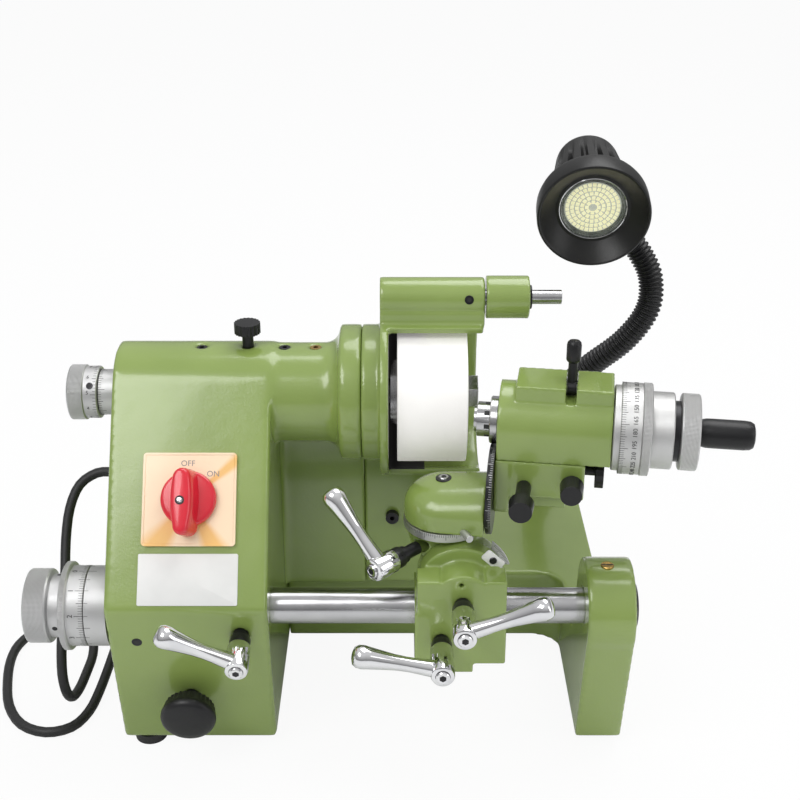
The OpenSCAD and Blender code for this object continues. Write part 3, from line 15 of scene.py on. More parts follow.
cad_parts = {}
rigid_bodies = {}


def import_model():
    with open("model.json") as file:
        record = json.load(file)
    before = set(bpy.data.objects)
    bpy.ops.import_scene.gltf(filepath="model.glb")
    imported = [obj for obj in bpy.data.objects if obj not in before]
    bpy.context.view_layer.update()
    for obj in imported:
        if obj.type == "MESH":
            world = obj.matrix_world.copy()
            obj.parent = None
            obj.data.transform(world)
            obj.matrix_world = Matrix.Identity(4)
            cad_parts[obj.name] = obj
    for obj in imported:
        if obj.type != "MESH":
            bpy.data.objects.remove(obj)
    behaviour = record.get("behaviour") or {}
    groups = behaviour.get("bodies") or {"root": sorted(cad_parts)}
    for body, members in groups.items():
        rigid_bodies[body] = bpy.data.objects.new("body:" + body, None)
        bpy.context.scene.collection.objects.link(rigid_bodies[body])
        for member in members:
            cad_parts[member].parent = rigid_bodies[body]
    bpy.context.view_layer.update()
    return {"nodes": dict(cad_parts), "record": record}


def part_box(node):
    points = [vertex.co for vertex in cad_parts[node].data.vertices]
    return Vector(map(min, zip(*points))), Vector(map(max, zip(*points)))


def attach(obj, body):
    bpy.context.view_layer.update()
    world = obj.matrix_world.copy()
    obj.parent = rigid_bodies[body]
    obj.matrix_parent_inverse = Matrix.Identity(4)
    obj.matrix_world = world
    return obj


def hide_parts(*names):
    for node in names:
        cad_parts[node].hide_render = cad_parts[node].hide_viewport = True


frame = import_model()
nodes = frame["nodes"]
scene = bpy.context.scene
scene.view_settings.view_transform = "Standard"

# %% [markdown]
# The machine was drawn with X = 0 at the middle of the picture and Y = 0 at the crease in the column's
# front. The frame is centred on the footprint, so one shift brings drawing sizes, in millimetres, into the
# frame. The workhead stands a little turned on its swivel, so it gets a frame of its own.

# %% From drawing sizes to the frame
MM = 0.001
COLUMN_LEFT_X = -201
column_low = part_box("column_casting")[0]
SHIFT = Vector((column_low.x - COLUMN_LEFT_X * MM, column_low.y, 0))


def at(x, y, z):
    """A point of the drawing, in millimetres, as a point of the frame."""
    return Vector((x * MM, y * MM, z * MM)) + SHIFT


SWIVEL_X, SWIVEL_Y = 31, 50
HEAD_YAW = math.radians(-8.5)
SWIVEL = at(SWIVEL_X, SWIVEL_Y, 0)
HEAD_TURN = Matrix.Translation(SWIVEL) @ Matrix.Rotation(HEAD_YAW, 4, "Z")


def head_at(x, y, z):
    """A point of the workhead's own frame, in millimetres, as a point of the frame."""
    return HEAD_TURN @ Vector((x * MM, y * MM, z * MM))


print("shift in mm:", [round(v / MM, 2) for v in SHIFT])

# %% [markdown]
# The photograph looks down on the machine by 25 degrees from straight in front, through a longish lens.
# A 60 mm lens on a 36 mm sensor, 0.9 m from the crease, gives the same convergence of the column's edges.

# %% Camera
LENS_LENGTH, SENSOR_WIDTH, LOOK_DOWN = 60, 36, 25
CAMERA_Y, CAMERA_Z = -755.2, 643.0
camera_data = bpy.data.cameras.new("camera")
camera_data.lens = LENS_LENGTH
camera_data.sensor_width = SENSOR_WIDTH
camera_data.clip_start = 0.01
camera = bpy.data.objects.new("camera", camera_data)
scene.collection.objects.link(camera)
camera.location = at(0, CAMERA_Y, CAMERA_Z)
camera.rotation_euler = (math.radians(90 - LOOK_DOWN), 0, 0)
scene.camera = camera
print("camera at:", [round(v, 3) for v in camera.location])

# %% [markdown]
# ## Stage and light
# The camera sees plain white all round. Gloss and polished metal see a room that is dim at eye level and
# bright overhead, because chrome and enamel only read as shiny when light and dark meet in them. Matt paint
# gets an even light of about half that white, so colours come out about as they are written. A Light Path
# node tells these three kinds of ray apart.

# %% White surround


def link_nodes(tree, *pairs):
    """Joins sockets of a node tree, each pair from an output to an input."""
    for source, target in pairs:
        tree.links.new(source, target)


def add_math(tree, operation, *values):
    """The result of a Math node whose values are numbers or the outputs of other nodes."""
    step = tree.nodes.new("ShaderNodeMath")
    step.operation = operation
    for socket, value in zip(step.inputs, values):
        if isinstance(value, (int, float)):
            socket.default_value = value
        else:
            tree.links.new(value, socket)
    return step.outputs[0]


def add_seen_rays(tree, rays):
    """One for rays from the camera or through clear glass, and zero for all others."""
    return add_math(tree, "MAXIMUM", rays.outputs["Is Camera Ray"], rays.outputs["Is Transmission Ray"])


world = bpy.data.worlds.new("white_surround")
scene.world = world
world.use_nodes = True
tree = world.node_tree
tree.nodes.clear()
soft = tree.nodes.new("ShaderNodeBackground")
soft.inputs["Color"].default_value = (0.97, 0.985, 1.0, 1)
soft.inputs["Strength"].default_value = 0.52
seen = tree.nodes.new("ShaderNodeBackground")
seen.inputs["Color"].default_value = (1, 1, 1, 1)
seen.inputs["Strength"].default_value = 1.0
room = tree.nodes.new("ShaderNodeBackground")
heading = tree.nodes.new("ShaderNodeTexCoord")
split = tree.nodes.new("ShaderNodeSeparateXYZ")
height = tree.nodes.new("ShaderNodeMapRange")
height.inputs["From Min"].default_value = 0.02
height.inputs["From Max"].default_value = 0.75
height.inputs["To Min"].default_value = 0.30
height.inputs["To Max"].default_value = 0.95
rays = tree.nodes.new("ShaderNodeLightPath")
gloss = tree.nodes.new("ShaderNodeMixShader")
pick = tree.nodes.new("ShaderNodeMixShader")
out = tree.nodes.new("ShaderNodeOutputWorld")
link_nodes(
    tree,
    (heading.outputs["Generated"], split.inputs[0]),
    (split.outputs["Z"], height.inputs["Value"]),
    (height.outputs["Result"], room.inputs["Strength"]),
    (rays.outputs["Is Glossy Ray"], gloss.inputs[0]),
    (soft.outputs[0], gloss.inputs[1]),
    (room.outputs[0], gloss.inputs[2]),
    (add_seen_rays(tree, rays), pick.inputs[0]),
    (gloss.outputs[0], pick.inputs[1]),
    (seen.outputs[0], pick.inputs[2]),
    (pick.outputs[0], out.inputs[0]),
)
print("nodes in the surround:", len(tree.nodes))

# %% [markdown]
# The machine stands on a wide white floor. To the camera the floor glows nearly white, and a small share of
# matt grey lets the soft shadow under the feet show. To all other rays it is only the matt grey.

# %% White floor
FLOOR_HALF, GLOW_SHARE = 6.0, 0.93
floor_material = bpy.data.materials.new("white_sweep")
floor_material.use_nodes = True
tree = floor_material.node_tree
tree.nodes.clear()
matt = tree.nodes.new("ShaderNodeBsdfDiffuse")
matt.inputs["Color"].default_value = (0.86, 0.86, 0.86, 1)
white = tree.nodes.new("ShaderNodeEmission")
white.inputs["Strength"].default_value = 1.0
mix = tree.nodes.new("ShaderNodeMixShader")
out = tree.nodes.new("ShaderNodeOutputMaterial")
rays = tree.nodes.new("ShaderNodeLightPath")
link_nodes(
    tree,
    (add_math(tree, "MULTIPLY", add_seen_rays(tree, rays), GLOW_SHARE), mix.inputs[0]),
    (matt.outputs[0], mix.inputs[1]),
    (white.outputs[0], mix.inputs[2]),
    (mix.outputs[0], out.inputs[0]),
)
bm = bmesh.new()
bmesh.ops.create_grid(bm, x_segments=2, y_segments=2, size=FLOOR_HALF)
floor_mesh = bpy.data.meshes.new("floor")
bm.to_mesh(floor_mesh)
bm.free()
floor_mesh.materials.append(floor_material)
floor = bpy.data.objects.new("floor", floor_mesh)
scene.collection.objects.link(floor)
print("floor across in m:", 2 * FLOOR_HALF)

# %% [markdown]
# Three soft boxes give the light a direction: a key from the upper left in front, a broad one from above and
# behind, and a weak one from the right. Area lights are the natural choice, since their size sets how soft a
# shadow is and how wide the streak along a bar or a lever looks.

# %% Soft boxes
MACHINE_MIDDLE = (0, 0, 0.15)


def soft_box(name, place, size, power):
    """A rectangular area light that looks at the middle of the machine."""
    lamp = bpy.data.lights.new(name, "AREA")
    lamp.shape = "RECTANGLE"
    lamp.size, lamp.size_y = size
    lamp.energy = power
    holder = bpy.data.objects.new(name, lamp)
    holder.location = place
    aim = Vector(MACHINE_MIDDLE) - Vector(place)
    holder.rotation_euler = aim.to_track_quat("-Z", "Y").to_euler()
    scene.collection.objects.link(holder)


soft_box("key_light", (-0.9, -1.1, 1.7), (1.2, 0.9), 17)
soft_box("top_light", (0.5, 0.5, 1.9), (1.4, 1.2), 19)
soft_box("right_light", (1.6, -0.7, 0.7), (0.7, 1.1), 4)
print("lights:", len(bpy.data.lights))

# %% [markdown]
# ## Finishes
# Every finish is a small node tree on Object coordinates, so a pattern keeps its scale on each piece.
# Enamel on a casting is glossy but never flat: the sand mould leaves slow waves under the paint, and the
# spray leaves fine orange peel. Two noises of very different scale drive the bump, and a third shifts the
# colour.

# %% A finish with colour drift, roughness drift and bump


def finish(name, colour, dark, rough, *, metal=0.0, drift=14.0, peel=(900.0, 0.02), wave=(60.0, 0.0),
           rough_drift=0.06, coat=0.0, coat_rough=0.08, spec=0.5, turn=None):
    """Principled finish: colour drifts towards dark, roughness drifts, and two noises raise the bump."""
    material = bpy.data.materials.new(name)
    material.use_nodes = True
    tree = material.node_tree
    shader = tree.nodes["Principled BSDF"]
    shader.inputs["Metallic"].default_value = metal
    shader.inputs["Specular IOR Level"].default_value = spec
    shader.inputs["Coat Weight"].default_value = coat
    shader.inputs["Coat Roughness"].default_value = coat_rough
    place = tree.nodes.new("ShaderNodeTexCoord").outputs["Object"]
    if turn is not None:
        mapping = tree.nodes.new("ShaderNodeMapping")
        mapping.inputs["Rotation"].default_value = turn
        tree.links.new(place, mapping.inputs["Vector"])
        place = mapping.outputs["Vector"]

    def noise(scale, detail):
        texture = tree.nodes.new("ShaderNodeTexNoise")
        texture.inputs["Scale"].default_value = scale
        texture.inputs["Detail"].default_value = detail
        tree.links.new(place, texture.inputs["Vector"])
        return texture.outputs["Fac"]

    slow = noise(drift, 3.0)
    ramp = tree.nodes.new("ShaderNodeValToRGB")
    ramp.color_ramp.elements[0].position = 0.36
    ramp.color_ramp.elements[0].color = (*dark, 1)
    ramp.color_ramp.elements[1].position = 0.62
    ramp.color_ramp.elements[1].color = (*colour, 1)
    spread = tree.nodes.new("ShaderNodeMapRange")
    spread.inputs["To Min"].default_value = max(0.02, rough - rough_drift)
    spread.inputs["To Max"].default_value = rough + rough_drift
    link_nodes(
        tree,
        (slow, ramp.inputs["Fac"]),
        (ramp.outputs["Color"], shader.inputs["Base Color"]),
        (noise(drift * 4, 4.0), spread.inputs["Value"]),
        (spread.outputs["Result"], shader.inputs["Roughness"]),
    )
    fine = tree.nodes.new("ShaderNodeBump")
    fine.inputs["Strength"].default_value = peel[1]
    fine.inputs["Distance"].default_value = MM
    tree.links.new(noise(peel[0], 2.0), fine.inputs["Height"])
    if wave[1] > 0:
        broad = tree.nodes.new("ShaderNodeBump")
        broad.inputs["Strength"].default_value = wave[1]
        broad.inputs["Distance"].default_value = 4 * MM
        link_nodes(
            tree,
            (noise(wave[0], 2.0), broad.inputs["Height"]),
            (broad.outputs[0], fine.inputs["Normal"]),
        )
    tree.links.new(fine.outputs[0], shader.inputs["Normal"])
    return material


# %% [markdown]
# Turned and ground metal carries fine lines that run round the axis of the lathe. Bands of a wave texture
# across that axis give the lines, with a little distortion so that they do not look ruled.

# %% Turned metal


def turned(name, colour, dark, rough, pitch, depth, turn=(0, 0, 0)):
    """A metal finish with lathe lines round the X axis, or round that axis turned by some angles."""
    material = finish(name, colour, dark, rough, metal=1.0, drift=30.0, peel=(1500.0, 0.01), turn=turn)
    tree = material.node_tree
    mapping = tree.nodes["Mapping"]
    bands = tree.nodes.new("ShaderNodeTexWave")
    bands.bands_direction = "X"
    bands.inputs["Scale"].default_value = pitch
    bands.inputs["Distortion"].default_value = 2.5
    bands.inputs["Detail"].default_value = 2.0
    bands.inputs["Detail Scale"].default_value = 3.0
    lines = tree.nodes.new("ShaderNodeBump")
    lines.inputs["Strength"].default_value = depth
    lines.inputs["Distance"].default_value = 0.3 * MM
    link_nodes(
        tree,
        (mapping.outputs["Vector"], bands.inputs["Vector"]),
        (bands.outputs["Fac"], lines.inputs["Height"]),
        (lines.outputs[0], tree.nodes["Principled BSDF"].inputs["Normal"]),
    )
    return material


# %% [markdown]
# These are the metals. The workhead is turned on its swivel, so it has metals of its own: nearly the same
# colours, with the lathe lines turned with it.

# %% Metals
HEAD_LATHE = (0, 0, -HEAD_YAW)
satin = turned("satin_dial_metal", (0.62, 0.62, 0.62), (0.55, 0.55, 0.55), 0.46, 900.0, 0.22)
head_satin = turned("satin_head_metal", (0.62, 0.62, 0.615), (0.55, 0.55, 0.545), 0.46, 900.0, 0.22,
                    turn=HEAD_LATHE)
steel = turned("ground_steel", (0.53, 0.53, 0.54), (0.45, 0.45, 0.46), 0.17, 700.0, 0.10)
head_steel = turned("ground_head_steel", (0.50, 0.50, 0.505), (0.42, 0.42, 0.425), 0.17, 700.0, 0.10,
                    turn=HEAD_LATHE)
chrome = finish("polished_chrome", (0.78, 0.78, 0.79), (0.70, 0.70, 0.72), 0.07, metal=1.0, drift=40.0,
                peel=(300.0, 0.015), rough_drift=0.03)
brass = turned("turned_brass", (0.58, 0.40, 0.13), (0.48, 0.32, 0.10), 0.25, 900.0, 0.12)
black_oxide = finish("black_oxide_steel", (0.030, 0.030, 0.032), (0.018, 0.018, 0.020), 0.3, metal=0.6,
                     drift=60.0, peel=(1200.0, 0.05))
metals = (satin, head_satin, steel, head_steel, chrome, brass, black_oxide)
print("metals:", [metal.name for metal in metals])

# %% [markdown]
# Paints, mouldings and rubber follow. The several blacks differ in gloss and grain, which is what tells
# paint from rubber. The white wheel is given a faint glow of its own, painted light that keeps its shaded
# side about as bright as its lit side.

# %% Paints, mouldings and grit
green = finish("green_enamel", (0.250, 0.340, 0.086), (0.218, 0.303, 0.072), 0.24, drift=9.0,
               peel=(520.0, 0.10), wave=(38.0, 0.11), coat=0.6, coat_rough=0.1)
black_moulding = finish("black_moulding", (0.011, 0.011, 0.012), (0.007, 0.007, 0.008), 0.36, drift=40.0,
                        peel=(1400.0, 0.08), spec=0.36)
black_satin = finish("black_satin_paint", (0.011, 0.011, 0.011), (0.007, 0.007, 0.007), 0.36, drift=25.0,
                     peel=(900.0, 0.06), spec=0.34)
black_inside = finish("black_guard_lining", (0.010, 0.010, 0.010), (0.006, 0.006, 0.006), 0.6, drift=30.0,
                      peel=(700.0, 0.2))
dark_rubber = finish("dark_rubber", (0.016, 0.016, 0.017), (0.011, 0.011, 0.012), 0.52, drift=50.0,
                     peel=(1200.0, 0.12))
red_moulding = finish("red_moulding", (0.70, 0.014, 0.034), (0.62, 0.010, 0.027), 0.22, drift=30.0,
                      peel=(1000.0, 0.03), coat=0.4)
label_white = finish("bare_label", (0.78, 0.78, 0.76), (0.74, 0.74, 0.72), 0.35, drift=40.0,
                     peel=(900.0, 0.02))
# This black fills cut lines and prints numbers, and is also painted shade in screw sockets, slots and
# recesses.
black_fill_and_shade = finish("black_fill_and_painted_shade", (0.016, 0.016, 0.016), (0.010, 0.010, 0.010), 0.6, drift=80.0,
                  peel=(900.0, 0.05))
grit = finish("white_abrasive", (0.93, 0.915, 0.895), (0.905, 0.89, 0.865), 0.85, drift=70.0,
              peel=(2200.0, 0.35), spec=0.2)


def set_glow(material, colour, strength):
    """Lets a finish give off a little light of its own."""
    shader = material.node_tree.nodes["Principled BSDF"]
    shader.inputs["Emission Color"].default_value = colour
    shader.inputs["Emission Strength"].default_value = strength


# Painted light: a faint glow that lifts the shaded side of the wheel.
set_glow(grit, (1, 0.955, 0.93, 1), 0.2)
print("finishes:", len(bpy.data.materials))

# %% [markdown]
# ## New pieces
# A new piece is a mesh that rides on one of the machine's bodies.
# Most are turned forms, so the helper used most often spins an outline round an axis. A full spin meets
# itself, so its doubles are merged and its normals are worked out again.

# %% Helpers for new pieces
SAME_POINT = 1e-6


def new_piece(name, mesh, body, slot, *materials):
    """Puts a finished mesh in the scene as a piece of a body."""
    for material in materials:
        mesh.materials.append(material)
    piece = bpy.data.objects.new(name, mesh)
    scene.collection.objects.link(piece)
    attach(piece, body)
    return piece


def from_bmesh(name, bm, body, slot, *materials, smooth=35):
    """Ends a bmesh as a piece, with edges over the given angle left sharp."""
    mesh = bpy.data.meshes.new(name)
    bm.to_mesh(mesh)
    bm.free()
    mesh.shade_smooth()
    mesh.set_sharp_from_angle(angle=math.radians(smooth))
    return new_piece(name, mesh, body, slot, *materials)


def add_spun(bm, outline, place, steps=28, finish_index=0):
    """Spins an outline of (radius, height) points, in millimetres, about the Z axis of a place."""
    before = set(bm.faces)
    line = [bm.verts.new(place @ Vector((r * MM, 0, z * MM))) for r, z in outline]
    edges = [bm.edges.new(pair) for pair in zip(line, line[1:])]
    bmesh.ops.spin(bm, geom=line + edges, cent=place.translation, axis=place.to_3x3() @ Vector((0, 0, 1)),
                   angle=math.tau, steps=steps, use_merge=True)
    fresh = [face for face in bm.faces if face not in before]
    corners = {vert for face in fresh for vert in face.verts}
    bmesh.ops.remove_doubles(bm, verts=list(corners), dist=SAME_POINT)
    fresh = [face for face in bm.faces if face not in before]
    bmesh.ops.recalc_face_normals(bm, faces=fresh)
    for face in fresh:
        face.material_index = finish_index
    return fresh


def draw_in(faces, place, columns, share_at):
    """Draws a spun form in: share_at(column, radius, height) is the share of the radius that is left."""
    local = place.inverted()
    for vert in {vert for face in faces for vert in face.verts}:
        point = local @ vert.co
        column = round(math.atan2(point.y, point.x) / math.tau * columns)
        share = share_at(column, math.hypot(point.x, point.y) / MM, point.z / MM)
        if share < 1:
            vert.co = place @ Vector((point.x * share, point.y * share, point.z))


def evaluated_mesh(holder):
    """The mesh of an object after its modifiers, or of a text, as a mesh of its own."""
    bpy.context.view_layer.update()
    return bpy.data.meshes.new_from_object(holder.evaluated_get(bpy.context.evaluated_depsgraph_get()))


BODIES = frame["record"]["behaviour"]["bodies"]
BODY_OF = {node: body for body, members in BODIES.items() for node in members}
SLOT_OF = {part["node"]: part["material_slot"] for part in frame["record"]["subparts"]}
print("nodes with a body:", len(BODY_OF), "with a slot:", len(SLOT_OF))

# %% [markdown]
# ## The mains lead
# A mains lead is one fixed length of soft cable. It leaves the column through a tapered strain relief, droops
# to the table, makes the loose loop that shows on the left, and what is left over lies in a tied coil behind.
# Its route is a list of given points, and the turns of the coil are worked out by a formula.

# %% Route of the lead, from the gland to the plug
CORD_R = 3.75
FLOOR_Z = CORD_R + 0.35
LEAD_EXIT = (-221, 150, 160)
LEAD = [
    LEAD_EXIT, (-233, 150, 159), (-246, 146, 151), (-253, 136, 136), (-255, 122, 116), (-254, 104, 93),
    (-253, 84, 74), (-252, 67, 57), (-251, 57, 39), (-250, 59, 21), (-249, 70, 9), (-248, 88, FLOOR_Z),
    (-247, 108, FLOOR_Z), (-247, 130, FLOOR_Z), (-252, 152, FLOOR_Z), (-266, 168, FLOOR_Z),
    (-284, 172, FLOOR_Z), (-301, 162, FLOOR_Z), (-310, 144, FLOOR_Z), (-311, 122, FLOOR_Z),
    (-306, 94, FLOOR_Z), (-297, 65, FLOOR_Z), (-282, 43, FLOOR_Z), (-262, 34, FLOOR_Z), (-244, 40, FLOOR_Z),
    (-235, 58, FLOOR_Z), (-232, 84, FLOOR_Z), (-231, 120, FLOOR_Z), (-231, 160, FLOOR_Z),
    (-232, 200, FLOOR_Z), (-232, 236, FLOOR_Z), (-227, 262, FLOOR_Z), (-213, 283, FLOOR_Z),
    (-191, 293, FLOOR_Z), (-167, 294, FLOOR_Z),
]
COIL_X, COIL_Y = -145, 342
COIL_TURNS, COIL_OUT_R, COIL_STEP, COIL_RISE, COIL_CLIMB = 3.5, 48, 8, 8, 0.25
COIL_TAIL, POINTS_PER_TURN = 30, 24


def coil_point(t):
    """A point of the coil after t turns: in on the table, up a layer, and out again on top."""
    half = COIL_TURNS / 2
    angle = math.radians(360 * t - 90)
    radius = COIL_OUT_R - COIL_STEP * (half - abs(t - half))
    layer = max(0.0, min(1.0, (t - half + COIL_CLIMB) / (2 * COIL_CLIMB)))
    x, y = COIL_X + radius * math.cos(angle), COIL_Y + radius * math.sin(angle)
    return (x, y, FLOOR_Z + COIL_RISE * layer)


def smooth_line(points, steps):
    """Extra points on a smooth line through the given ones."""
    line = []
    for i in range(len(points) - 1):
        a, b = points[max(i - 1, 0)], points[i]
        c, d = points[i + 1], points[min(i + 2, len(points) - 1)]
        for k in range(steps):
            t = k / steps
            line.append(0.5 * (2 * b + (c - a) * t + (2 * a - 5 * b + 4 * c - d) * t**2
                               + (3 * b - a - 3 * c + d) * t**3))
    return line + [points[-1]]


def line_length(points):
    """The length of a line through points, in metres."""
    return sum((b - a).length for a, b in zip(points, points[1:]))


coil = [at(*coil_point(k / POINTS_PER_TURN)) for k in range(int(POINTS_PER_TURN * COIL_TURNS) + 1)]
end = coil[-1]
coil += [end - Vector((COIL_TAIL * MM / 2, 0, 0)), end - Vector((COIL_TAIL * MM, 0, 0))]
lead_line = smooth_line([at(*p) for p in LEAD] + coil[:1], 3)[:-1] + smooth_line(coil, 2)

# %% [markdown]
# A curve with a round bevel is the natural way to make a cable: its line is the cable's own centre line, and
# its bevel depth is the cable's radius.

# %% The cable


def curve_along(name, points, radius):
    """A curve through points, with a round section of the given radius in metres."""
    curve = bpy.data.curves.new(name, "CURVE")
    curve.dimensions = "3D"
    curve.bevel_depth = radius
    curve.bevel_resolution = 6
    curve.use_fill_caps = True
    spline = curve.splines.new("POLY")
    spline.points.add(len(points) - 1)
    for point, place in zip(spline.points, points):
        point.co = (*place, 1)
    spline.use_smooth = True
    return curve


lead_curve = curve_along("mains_cable", lead_line, CORD_R * MM)
lead_curve.materials.append(dark_rubber)
lead = bpy.data.objects.new("mains_cable", lead_curve)
scene.collection.objects.link(lead)
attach(lead, "frame")
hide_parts("mains_lead", "lead_coil")
print("points along the cable:", len(lead_line))

# %% [markdown]
# A thin ring of rubber holds the coil. A flat oval is spun round one stretch of the bundle, and the ring is
# pressed flat to the height of the bundle's two layers.

# %% Coil tie
TIE_OFF_X, TIE_R, TIE_FLAT_SHARE = 41, 12.8, 0.619
TIE_WIDTH, TIE_OVAL_LENGTH = 0.4, 7
bm = bmesh.new()
tie_mid = at(COIL_X + TIE_OFF_X, COIL_Y, FLOOR_Z + COIL_RISE / 2)
oval = bmesh.ops.create_circle(bm, segments=10, radius=0.5)
for vert in oval["verts"]:
    vert.co = Vector((vert.co.x * TIE_WIDTH * MM, vert.co.y * TIE_OVAL_LENGTH * MM, 0))
for axis in ("Z", "Y"):
    bmesh.ops.rotate(bm, verts=bm.verts, matrix=Matrix.Rotation(math.radians(90), 3, axis))
bmesh.ops.translate(bm, verts=bm.verts, vec=(TIE_R * MM, 0, 0))
bmesh.ops.spin(bm, geom=bm.verts[:] + bm.edges[:], axis=(0, 1, 0), cent=(0, 0, 0), angle=math.tau, steps=40,
               use_merge=True, use_duplicate=False)
bmesh.ops.remove_doubles(bm, verts=bm.verts, dist=SAME_POINT)
bmesh.ops.recalc_face_normals(bm, faces=bm.faces)
for vert in bm.verts:
    vert.co.z *= TIE_FLAT_SHARE
bmesh.ops.translate(bm, verts=bm.verts, vec=tie_mid)
coil_tie = from_bmesh("coil_tie", bm, "frame", "black_rubber", dark_rubber)
print("coil tied, faces:", len(coil_tie.data.polygons))

# %% [markdown]
# ## Castings
# A casting has no sharp edge: the mould is rounded, filler takes up the corners, and the paint rounds them
# further. Each solid is copied and its loose triangles are merged. A voxel Remesh makes the copy again in
# small even faces, and a few rounds of Smooth then fill the inner corners and round the outer ones, as a
# moulder does with a fillet tool. The copies replace their solids, which stay behind for contact.

# %% Cast copies of solids


def merged(node):
    """A bmesh of a solid with its doubles merged and its flat faces made whole."""
    bm = bmesh.new()
    bm.from_mesh(nodes[node].data)
    bmesh.ops.remove_doubles(bm, verts=bm.verts, dist=2 * SAME_POINT)
    bmesh.ops.dissolve_limit(bm, angle_limit=math.radians(0.6), verts=bm.verts, edges=bm.edges)
    return bm


def cast(node, voxel, rounds, pattern=None):
    """A casting in even faces of voxel millimetres, from a solid or a pattern, smoothed some rounds."""
    bm = pattern or merged(node)
    bmesh.ops.triangulate(bm, faces=bm.faces)
    mesh = bpy.data.meshes.new(node + "_pattern")
    bm.to_mesh(mesh)
    bm.free()
    holder = bpy.data.objects.new(node + "_pattern", mesh)
    scene.collection.objects.link(holder)
    even = holder.modifiers.new("even_faces", "REMESH")
    even.mode = "VOXEL"
    even.voxel_size = voxel * MM
    fillets = holder.modifiers.new("fillets", "SMOOTH")
    fillets.factor = 0.5
    fillets.iterations = rounds
    poured = evaluated_mesh(holder)
    bpy.data.objects.remove(holder)
    bpy.data.meshes.remove(mesh)
    poured.shade_smooth()
    piece = new_piece(node + "_dressed", poured, BODY_OF[node], SLOT_OF[node], green)
    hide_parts(node)
    return piece


# %% [markdown]
# The swivel cap is drawn as one form: a low round cap that runs out on the right to the face of the relief
# disc. A loft would need sections that change from round to flat. The convex hull of the cap's rings and of
# the edge of that face makes the run-out in one step.

# %% Pattern of the swivel cap
CAP_R, CAP_BASE_Z, CAP_WALL_Z, CAP_H = 28.3, 180.5, 190.0, 18.5
FACE_X, FACE_R, FACE_LIFT = 29.3, 29.0, 2.6
CAP_POINTS = 64
rings = [(CAP_R, CAP_BASE_Z), (CAP_R, CAP_WALL_Z)]
rings += [(CAP_R * math.cos(math.radians(a)), CAP_WALL_Z + CAP_H * math.sin(math.radians(a)))
          for a in range(10, 100, 10)]
cap = bmesh.new()
for k in range(CAP_POINTS):
    around = math.tau * k / CAP_POINTS
    for radius, height in rings:
        cap.verts.new(head_at(radius * math.cos(around), radius * math.sin(around), height))
    if k <= CAP_POINTS // 2:
        face_z = CAP_WALL_Z + (CAP_H + FACE_LIFT) * math.sin(around)
        cap.verts.new(head_at(FACE_X, FACE_R * math.cos(around), face_z))
for side in (-1, 1):
    cap.verts.new(head_at(FACE_X, side * FACE_R, CAP_BASE_Z))
hull = bmesh.ops.convex_hull(cap, input=cap.verts)
left_over = hull["geom_interior"] + hull["geom_unused"]
spare = {item for item in left_over if isinstance(item, bmesh.types.BMVert)}
bmesh.ops.delete(cap, geom=list(spare), context="VERTS")
print("faces of the cap's pattern:", len(cap.faces))

# %% [markdown]
# The carrier holds the workhead on the relief disc. Its copy is cut by two planes, which is what bisect_plane
# is for: the lower part goes, and the front becomes one flat face. The cuts are then filled.

# %% Pattern of the head carrier
CARRIER_FLOOR_Z, CARRIER_FRONT_Y = 190.0, -9.0
carrier = merged("head_carrier")
for point, normal in ((head_at(0, 0, CARRIER_FLOOR_Z), Vector((0, 0, 1))),
                      (head_at(0, CARRIER_FRONT_Y, 0), HEAD_TURN.to_3x3() @ Vector((0, 1, 0)))):
    bmesh.ops.bisect_plane(carrier, geom=carrier.verts[:] + carrier.edges[:] + carrier.faces[:],
                           plane_co=point, plane_no=normal, clear_inner=True)
    bmesh.ops.holes_fill(carrier, edges=[edge for edge in carrier.edges if edge.is_boundary], sides=0)
print("faces of the carrier's pattern:", len(carrier.faces))

# %% [markdown]
# The carriage has a shoulder on each side of its boss, and the boss of the workhead runs on to the index
# ring. A voxel remesh joins whatever overlaps, so a block is simply laid over the solid's copy.

# %% Patterns of the carriage and the workhead
SHOULDERS_X = ((11.5, 26.5), (57.5, 71.5))
SHOULDER_FRONT_Y, SHOULDER_BACK_Y, SHOULDER_LOW_Z, SHOULDER_HIGH_Z = -3.9, 15.5, 120, 158.5
BOSS_LOW, BOSS_HIGH = (85.6, 2.6, 266), (110.2, 36.4, 278.9)


def lay_block(bm, low, high, turn=None):
    """A block between two corners, in millimetres of the drawing or of a turned frame."""
    low, high = Vector(low) * MM, Vector(high) * MM
    base = turn or Matrix.Translation(SHIFT)
    middle = Matrix.Translation((low + high) / 2)
    bmesh.ops.create_cube(bm, size=1.0, matrix=base @ middle @ Matrix.Diagonal((*(high - low), 1)))


carriage = merged("carriage")
for left_x, right_x in SHOULDERS_X:
    lay_block(carriage, (left_x, SHOULDER_FRONT_Y, SHOULDER_LOW_Z),
              (right_x, SHOULDER_BACK_Y, SHOULDER_HIGH_Z))
workhead = merged("workhead_body")
lay_block(workhead, BOSS_LOW, BOSS_HIGH, HEAD_TURN)
print("blocks laid:", len(SHOULDERS_X) + 1)

# %% [markdown]
# Each casting has a voxel size and a number of smoothing rounds. Big castings take coarse voxels, and the
# carriage and the tilt base are smoothed only twice, so that their fillets keep clear of each other when the
# head is tilted. The cap is polished round with many rounds.

# %% All the castings
CASTINGS = {
    "bed_casting": (2.0, 6), "column_casting": (2.0, 6), "wheel_guard": (1.2, 4), "dresser_head": (0.8, 3),
    "carriage": (0.9, 2), "tilt_base": (0.9, 2), "swivel_dome": (0.8, 14), "head_carrier": (0.9, 3),
    "workhead_body": (0.9, 3),
}
PATTERNS = {"swivel_dome": cap, "head_carrier": carrier, "carriage": carriage, "workhead_body": workhead}
dressed = {}
for node, (voxel, rounds) in CASTINGS.items():
    dressed[node] = cast(node, voxel, rounds, PATTERNS.get(node))
    print(node, "faces:", len(dressed[node].data.polygons))

